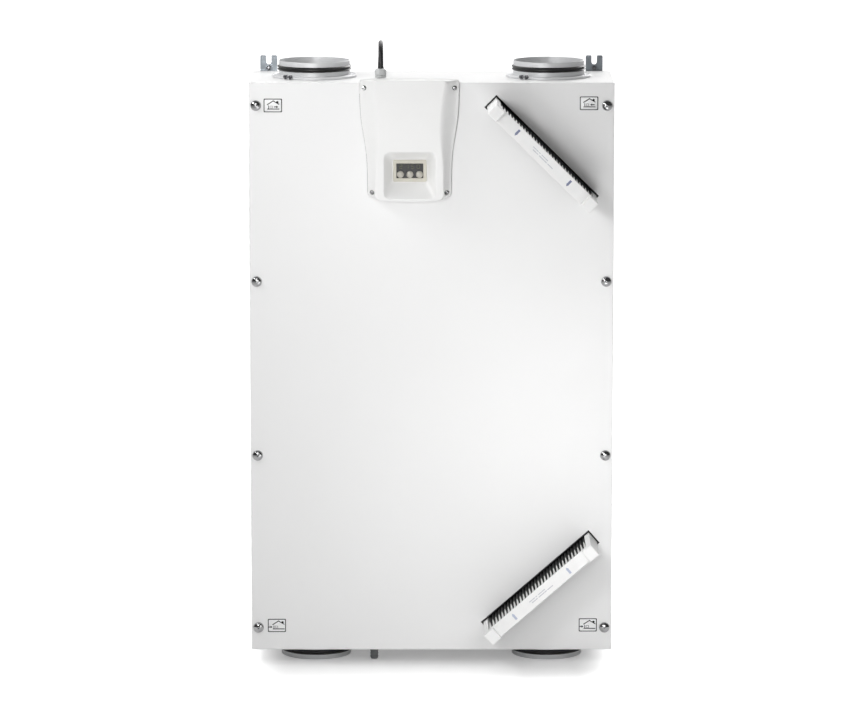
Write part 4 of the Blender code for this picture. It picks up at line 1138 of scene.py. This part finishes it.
def filter_print(name):
    """Air direction arrows at both ends of the front strip and a short row of marks between them."""
    x, up, slope = FILTERS[name]
    toward = -1 if name == "upper" else 1
    bm = bmesh.new()
    for u in (-0.062, 0.062):
        merge_into(bm, arrow_mesh((u, -toward * 0.0062), (u, toward * 0.0068), 0.0040, 0.0046))
    face = at(x, -FILTER_OUT + GRIP_H - INK_T - 0.00002, up)
    piece(f"{name}_filter_arrows", bm, BLUE_INK if name == "upper" else PALE_INK, f"{name}_filter",
          place=face, slope=slope)
    marks = bmesh.new()
    for row, spans in ((0.0022, ((-25, -20), (-18, -14), (-11, -9), (-5, 2), (4, 9))),
                       (-0.0018, ((-22, -15), (-13, -11), (-7, 4), (6, 10), (13, 24)))):
        for start, end in spans:
            merge_into(marks, stroke([(start / 1000, row), (end / 1000, row)], 0.0015))
    piece(f"{name}_filter_marks", marks, GREY_INK, f"{name}_filter", place=face, slope=slope)


# ---------------------------------------------------------------- duct connections, brackets, drain
def duct_connections():
    """Collar with a rolled rim and a bead, double-lip seal, and a clamp ring with its lock."""
    bore, outside, out, inside = SPIGOT_R - 0.0014, SPIGOT_R, SPIGOT_OUT, SPIGOT_IN
    collar = [(bore, -inside), (outside - 0.0002, -inside), (outside, -inside + 0.0006),
              (outside, out - 0.0014),
              (outside - 0.0002, out - 0.0005), (outside - 0.0007, out), (bore + 0.0002, out - 0.0002),
              (bore, out - 0.0010)]
    lip = [(outside - 0.0001, 0.0117), (outside + 0.0008, 0.0117), (outside + 0.0026, 0.0128),
           (outside + 0.0028, 0.0136), (outside + 0.0024, 0.0142), (outside + 0.0010, 0.0148),
           (outside + 0.0010, 0.0168), (outside + 0.0025, 0.0176), (outside + 0.0028, 0.0186),
           (outside + 0.0023, 0.0194), (outside + 0.0009, 0.0205), (outside - 0.0001, 0.0205)]
    wide = 0.0738
    clamp = [(outside + GAP, GAP), (wide - 0.0004, GAP), (wide, GAP + 0.0004), (wide, 0.0036),
             (wide - 0.0006, 0.0042),
             (wide - 0.0030, 0.0042), (wide - 0.0036, 0.0034), (outside + 0.0040, 0.0034),
             (outside + 0.0032, 0.0042), (outside + GAP, 0.0042)]
    made = {}
    for height, turn, up in (("upper", (0, 0, 0), HALF_H), ("lower", (math.pi, 0, 0), -HALF_H)):
        for side, word in ((-1, "left"), (1, "right")):
            place = at(side * SPIGOT_X, SPIGOT_DEPTH, up)
            for part, node, profile, finish in (
                    ("collar", "duct_collar", collar, DUCT_STEEL), ("double_lip", "lip_seal", lip, RUBBER),
                    ("clamp", "clamp_ring", clamp, DUCT_STEEL)):
                name, nodes = f"{height}_{word}_{part}", [f"{height}_{word}_{node}"]
                if part in made:
                    twin(made[part], name, place, nodes, turn=turn)
                else:
                    made[part] = piece(name, turned_mesh(profile, ROUND), finish, "root", nodes, place)
            name = f"{height}_{word}_clamp_lock"
            spin = (turn[0], 0, math.radians(-36 if height == "upper" else 144))
            if "lock" in made:
                twin(made["lock"], name, place, turn=spin)
            else:
                made["lock"] = piece(name, lock_mesh(wide), SCREW_STEEL, place=place)
                made["lock"].rotation_euler = spin


def lock_mesh(wide):
    """Tension lock of the clamp ring: two ears, a screw through them and its nut, at the ring's front."""
    bm = bmesh.new()
    for side in (-1, 1):
        low, high = sorted((side * 0.0042, side * 0.0056))
        merge_into(bm, soft_box((low, -wide - 0.0050, 0.0006), (high, -wide + 0.0030, 0.0078), 0.0004, 2))
    screw = ((0, -0.0085), (0.0027, -0.0085), (0.0030, -0.0080), (0.0030, -0.0060), (0.0013, -0.0056),
             (0.0013, 0.0092), (0, 0.0092))
    nut = ((0, 0.0058), (0.0026, 0.0058), (0.0026, 0.0080), (0, 0.0080))
    across = Matrix.Translation((0, -wide - 0.0018, 0.0048)) @ Matrix.Rotation(math.pi / 2, 4, "Y")
    for profile, segments in ((screw, 24), (nut, 6)):
        part = turned_mesh(profile, segments)
        part.transform(across)
        merge_into(bm, part)
    return bm


def brackets():
    """Galvanised plates on the back, with a U-slot open at the top and two fixing screws."""
    low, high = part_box("left_wall_bracket")
    half, middle = (high.x - low.x) / 2, (low.x + high.x) / 2
    bottom, top = low.z - MID_Z, high.z - MID_Z
    front, rear = low.y - FRONT_Y, high.y - FRONT_Y
    slot_r, slot_up, corner = 0.0048, 0.5156, 0.0025
    points = [*arc((-half + corner, bottom + corner), corner, 180, 270, 5),
              *arc((half - corner, bottom + corner), corner, 270, 360, 5),
              *arc((half - corner, top - corner), corner, 0, 90, 5),
              (slot_r + 0.0008, top), (slot_r, top - 0.0008), *arc((0, slot_up), slot_r, 0, -180, 16),
              (-slot_r, top - 0.0008), (-slot_r - 0.0008, top),
              *arc((-half + corner, top - corner), corner, 90, 180, 5)]
    mesh = prism_mesh(points, front, rear)
    edges = [e for e in mesh.edges if abs(e.verts[0].co.y - e.verts[1].co.y) < 1e-6]
    bmesh.ops.bevel(mesh, geom=edges, offset=0.0003, segments=2, profile=0.5, affect="EDGES")
    left = piece("left_bracket_plate", mesh, ZINC, "root", ["left_wall_bracket"], at(middle, 0, 0),
                 smooth=40, weighted=True)
    twin(left, "right_bracket_plate", at(-middle, 0, 0), ["right_wall_bracket"])
    profile = ((0, 0.0), (0.0024, 0.0), (0.0036, 0.0004), (0.0040, 0.0012), (0.0042, 0.0018),
               (0.0042, 0.0024), (0, 0.0024))
    matrices = []
    for side in (-1, 1):
        matrices.append(Matrix.Translation(at(side * middle, front - 0.0024, 0.5052)))
        matrices += [Matrix.Translation(at(side * middle, rear + 0.0024, up))
                     @ Matrix.Rotation(math.pi, 4, "X") for up in (0.486, 0.446)]
    piece("bracket_screws", copies_mesh(lambda: turned_mesh(profile, 24, "Y"), matrices), SCREW_STEEL)


def drain_pipe():
    """Condensate pipe with three barbs for a hose."""
    low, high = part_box("drain_pipe")
    outer, top = (high.x - low.x) / 2, high.z - MID_Z
    barbs = []
    for i in range(3):
        base = DRAIN_END + 0.0012 + 0.0050 * i
        barbs += [(outer - 0.0009, base), (outer, base + 0.0034), (outer, base + 0.0042),
                  (outer - 0.0009, base + 0.0046)]
    profile = [(outer - 0.0022, DRAIN_END), (outer - 0.0012, DRAIN_END), *barbs, (outer - 0.0009, -0.5052),
               (outer - 0.0009, top), (outer - 0.0022, top)]
    piece("drain_hose_tail", turned_mesh(profile, 48), MID_GREY, "root", ["drain_pipe"],
          at(DRAIN_X, DRAIN_DEPTH, 0))


# ---------------------------------------------------------------- inside
def inside():
    """Pieces behind the cover keep their CAD shape and take finer finishes."""
    carry_over(FOAM, "foam_body", "cover_insulation", "bypass_divider")
    carry_over(PALE_GREY, "exchanger_front_plate", "exchanger_rear_plate", "bypass_flap",
               "upper_fan_impeller", "lower_fan_impeller")
    carry_over(PLATES, "exchanger_core")
    carry_over(DARK, "exchanger_strap", "bypass_actuator", "upper_fan_scroll", "lower_fan_scroll",
               "condensate_tray")
    carry_over(MOTOR_ZINC, "upper_fan_motor", "lower_fan_motor")
    carry_over(BOARD, "circuit_board")
    carry_over(LID_WHITE, "control_box_base")


# ---------------------------------------------------------------- studio
FLOOR_R = 45
FLOOR_GLOW = (0.0, 0.08)           # emission near the unit and away from it, as light for the unit
FLOOR_SEEN = (0.24, 1.15)          # the same, as the camera sees it: the low value is a painted shadow under the unit
FLOOR_MIRRORED = 0.12              # and as shiny pieces mirror it
AMBIENT, BACKDROP = 0.21, 1.1
SURROUND = (0.10, 1.0, 0.1, 0.8)   # what shiny faces mirror: dim towards the camera, bright behind
KEY = (0.25, 0.25)
LIGHTS = (                         # name, place, aim, (width, height), watts
    ("key_side", (-1.249, -0.424, 1.832), (0.1, -0.05, 0.7), KEY, 4.2),
    ("key_low", (-1.178, -0.724, 1.773), (0.1, -0.05, 0.7), KEY, 3.2),
    ("key_high", (-0.483, -1.681, 1.189), (0.1, -0.05, 0.7), KEY, 6.2),
    ("upper_fill", (-0.35, -0.80, 1.35), (-0.1, 0.0, 0.6), (0.4, 0.4), 1.15),
    ("middle_fill", (-0.10, -0.65, 0.80), (-0.1, 0.0, 0.8), (0.3, 0.3), 0.48),
    ("right_fill", (0.30, -0.70, 0.38), (0.3, 0.0, 0.38), (0.4, 0.4), 1.50),
    ("lower_fill", (0.06, -0.70, 0.16), (0.06, 0.0, 0.16), (0.3, 0.3), 0.30),
    ("sky", (0.0, 1.10, 2.60), (0.0, 0.08, 1.0), (2.4, 1.6), 36),
    ("back_fill", (1.6, 3.2, 2.4), (0.0, 0.2, 0.5), (1.6, 1.6), 45))
CAMERA_AT, CAMERA_PITCH, LENS, SENSOR = (-0.0026, -8.220, 1.829), 0.156, 198.8, 36.0


def area_light(name, place, aim, size, power):
    data = bpy.data.lights.new(name, "AREA")
    data.shape, data.energy = "RECTANGLE", power
    data.size, data.size_y = size
    turn = (Vector(aim) - Vector(place)).to_track_quat("-Z", "Y").to_euler()
    shown(name, data, place, turn).visible_camera = False


def painted_floor_shadow(ground):
    """Mask of the floor's painted shadow: 0 under the unit, rising to 1 a little way in front of it and
    before its sides.
    """
    parts = []
    for axis, middle, half, fade in (("X", 0.0, 0.245, 0.085), ("Y", 0.06, 0.11, 0.20)):
        off = ground.math("ABSOLUTE", ground.math("SUBTRACT", ground.along(axis), middle))
        parts.append(ground.math("POWER", ground.spread(off, 0.0, 1.0, half, half + fade), 2.0))
    return ground.math("ADD", *parts)


def studio_floor():
    """Pale floor that fades to white away from the unit; as the camera sees it, the grey near the unit is a
    painted shadow under it.
    """
    bpy.ops.mesh.primitive_circle_add(vertices=96, radius=FLOOR_R, fill_type="NGON", location=(0, 0, 0))
    floor = bpy.context.object
    floor.name = "floor"
    ground = Finish("pale_floor", None, (0.86, 0.86, 0.86), 0.9)
    away = ground.fed("VectorMath", {0: ground.place}, "Value", operation="LENGTH")
    glow = ground.spread(away, *FLOOR_GLOW, 0.4, 1.3)
    # as the camera sees it, the floor carries a painted shadow under the unit
    seen = ground.spread(painted_floor_shadow(ground), *FLOOR_SEEN, 0.0, 1.0)
    rays = ground.add("LightPath").outputs
    for ray, value in (("Is Camera Ray", seen), ("Is Glossy Ray", FLOOR_MIRRORED)):
        glow = ground.fed("Mix", {"Factor": rays[ray], "A": glow, "B": value}, "Result")
    ground.join(glow, ground.shader.inputs["Emission Strength"])
    ground.shader.inputs["Emission Color"].default_value = (1, 1, 1, 1)
    ground.shader.inputs["Specular IOR Level"].default_value = 0.0
    floor.data.materials.append(ground.material)


def surround():
    """White as the camera sees it, dim as light, and brighter behind the unit for shiny faces."""
    world = bpy.data.worlds.new("studio")
    bpy.context.scene.world = world
    world.use_nodes = True
    world.node_tree.nodes.clear()
    sky = Nodes(world.node_tree)
    rays = sky.add("LightPath").outputs
    behind = sky.fed("SeparateXYZ", {"Vector": sky.add("TexCoord").outputs["Generated"]}, "Y")
    lit = sky.fed("Background", {"Color": (AMBIENT, AMBIENT, AMBIENT, 1)})
    mirrored = sky.fed("Background", {"Strength": sky.spread(behind, *SURROUND)})
    seen = sky.fed("Background", {"Color": (BACKDROP, BACKDROP, BACKDROP, 1)})
    unseen = sky.fed("MixShader", {"Fac": rays["Is Glossy Ray"], 1: lit, 2: mirrored})
    mix = sky.fed("MixShader", {"Fac": rays["Is Camera Ray"], 1: unseen, 2: seen})
    sky.join(mix, sky.add("OutputWorld").inputs["Surface"])


def studio():
    studio_floor()
    surround()
    for light in LIGHTS:
        area_light(*light)
    view = bpy.context.scene.view_settings
    view.view_transform, view.look = "Standard", "None"


def camera():
    """Nearly level view of the cover from about 8 m."""
    data = bpy.data.cameras.new("camera")
    data.lens, data.sensor_width = LENS, SENSOR
    data.clip_start, data.clip_end = 0.1, 200.0
    bpy.context.scene.camera = shown("camera", data, CAMERA_AT, (math.pi / 2 - CAMERA_PITCH, 0, 0))


# ---------------------------------------------------------------- the unit
camera()
power_lead()
gland()
cover_sheet()
casing()
cover_screws()
slot_gaskets()
labels()
lid()
lid_screws()
bezel()
display()
board_parts()
filter_cassettes()
duct_connections()
brackets()
drain_pipe()
inside()
studio()

bpy.context.view_layer.update()
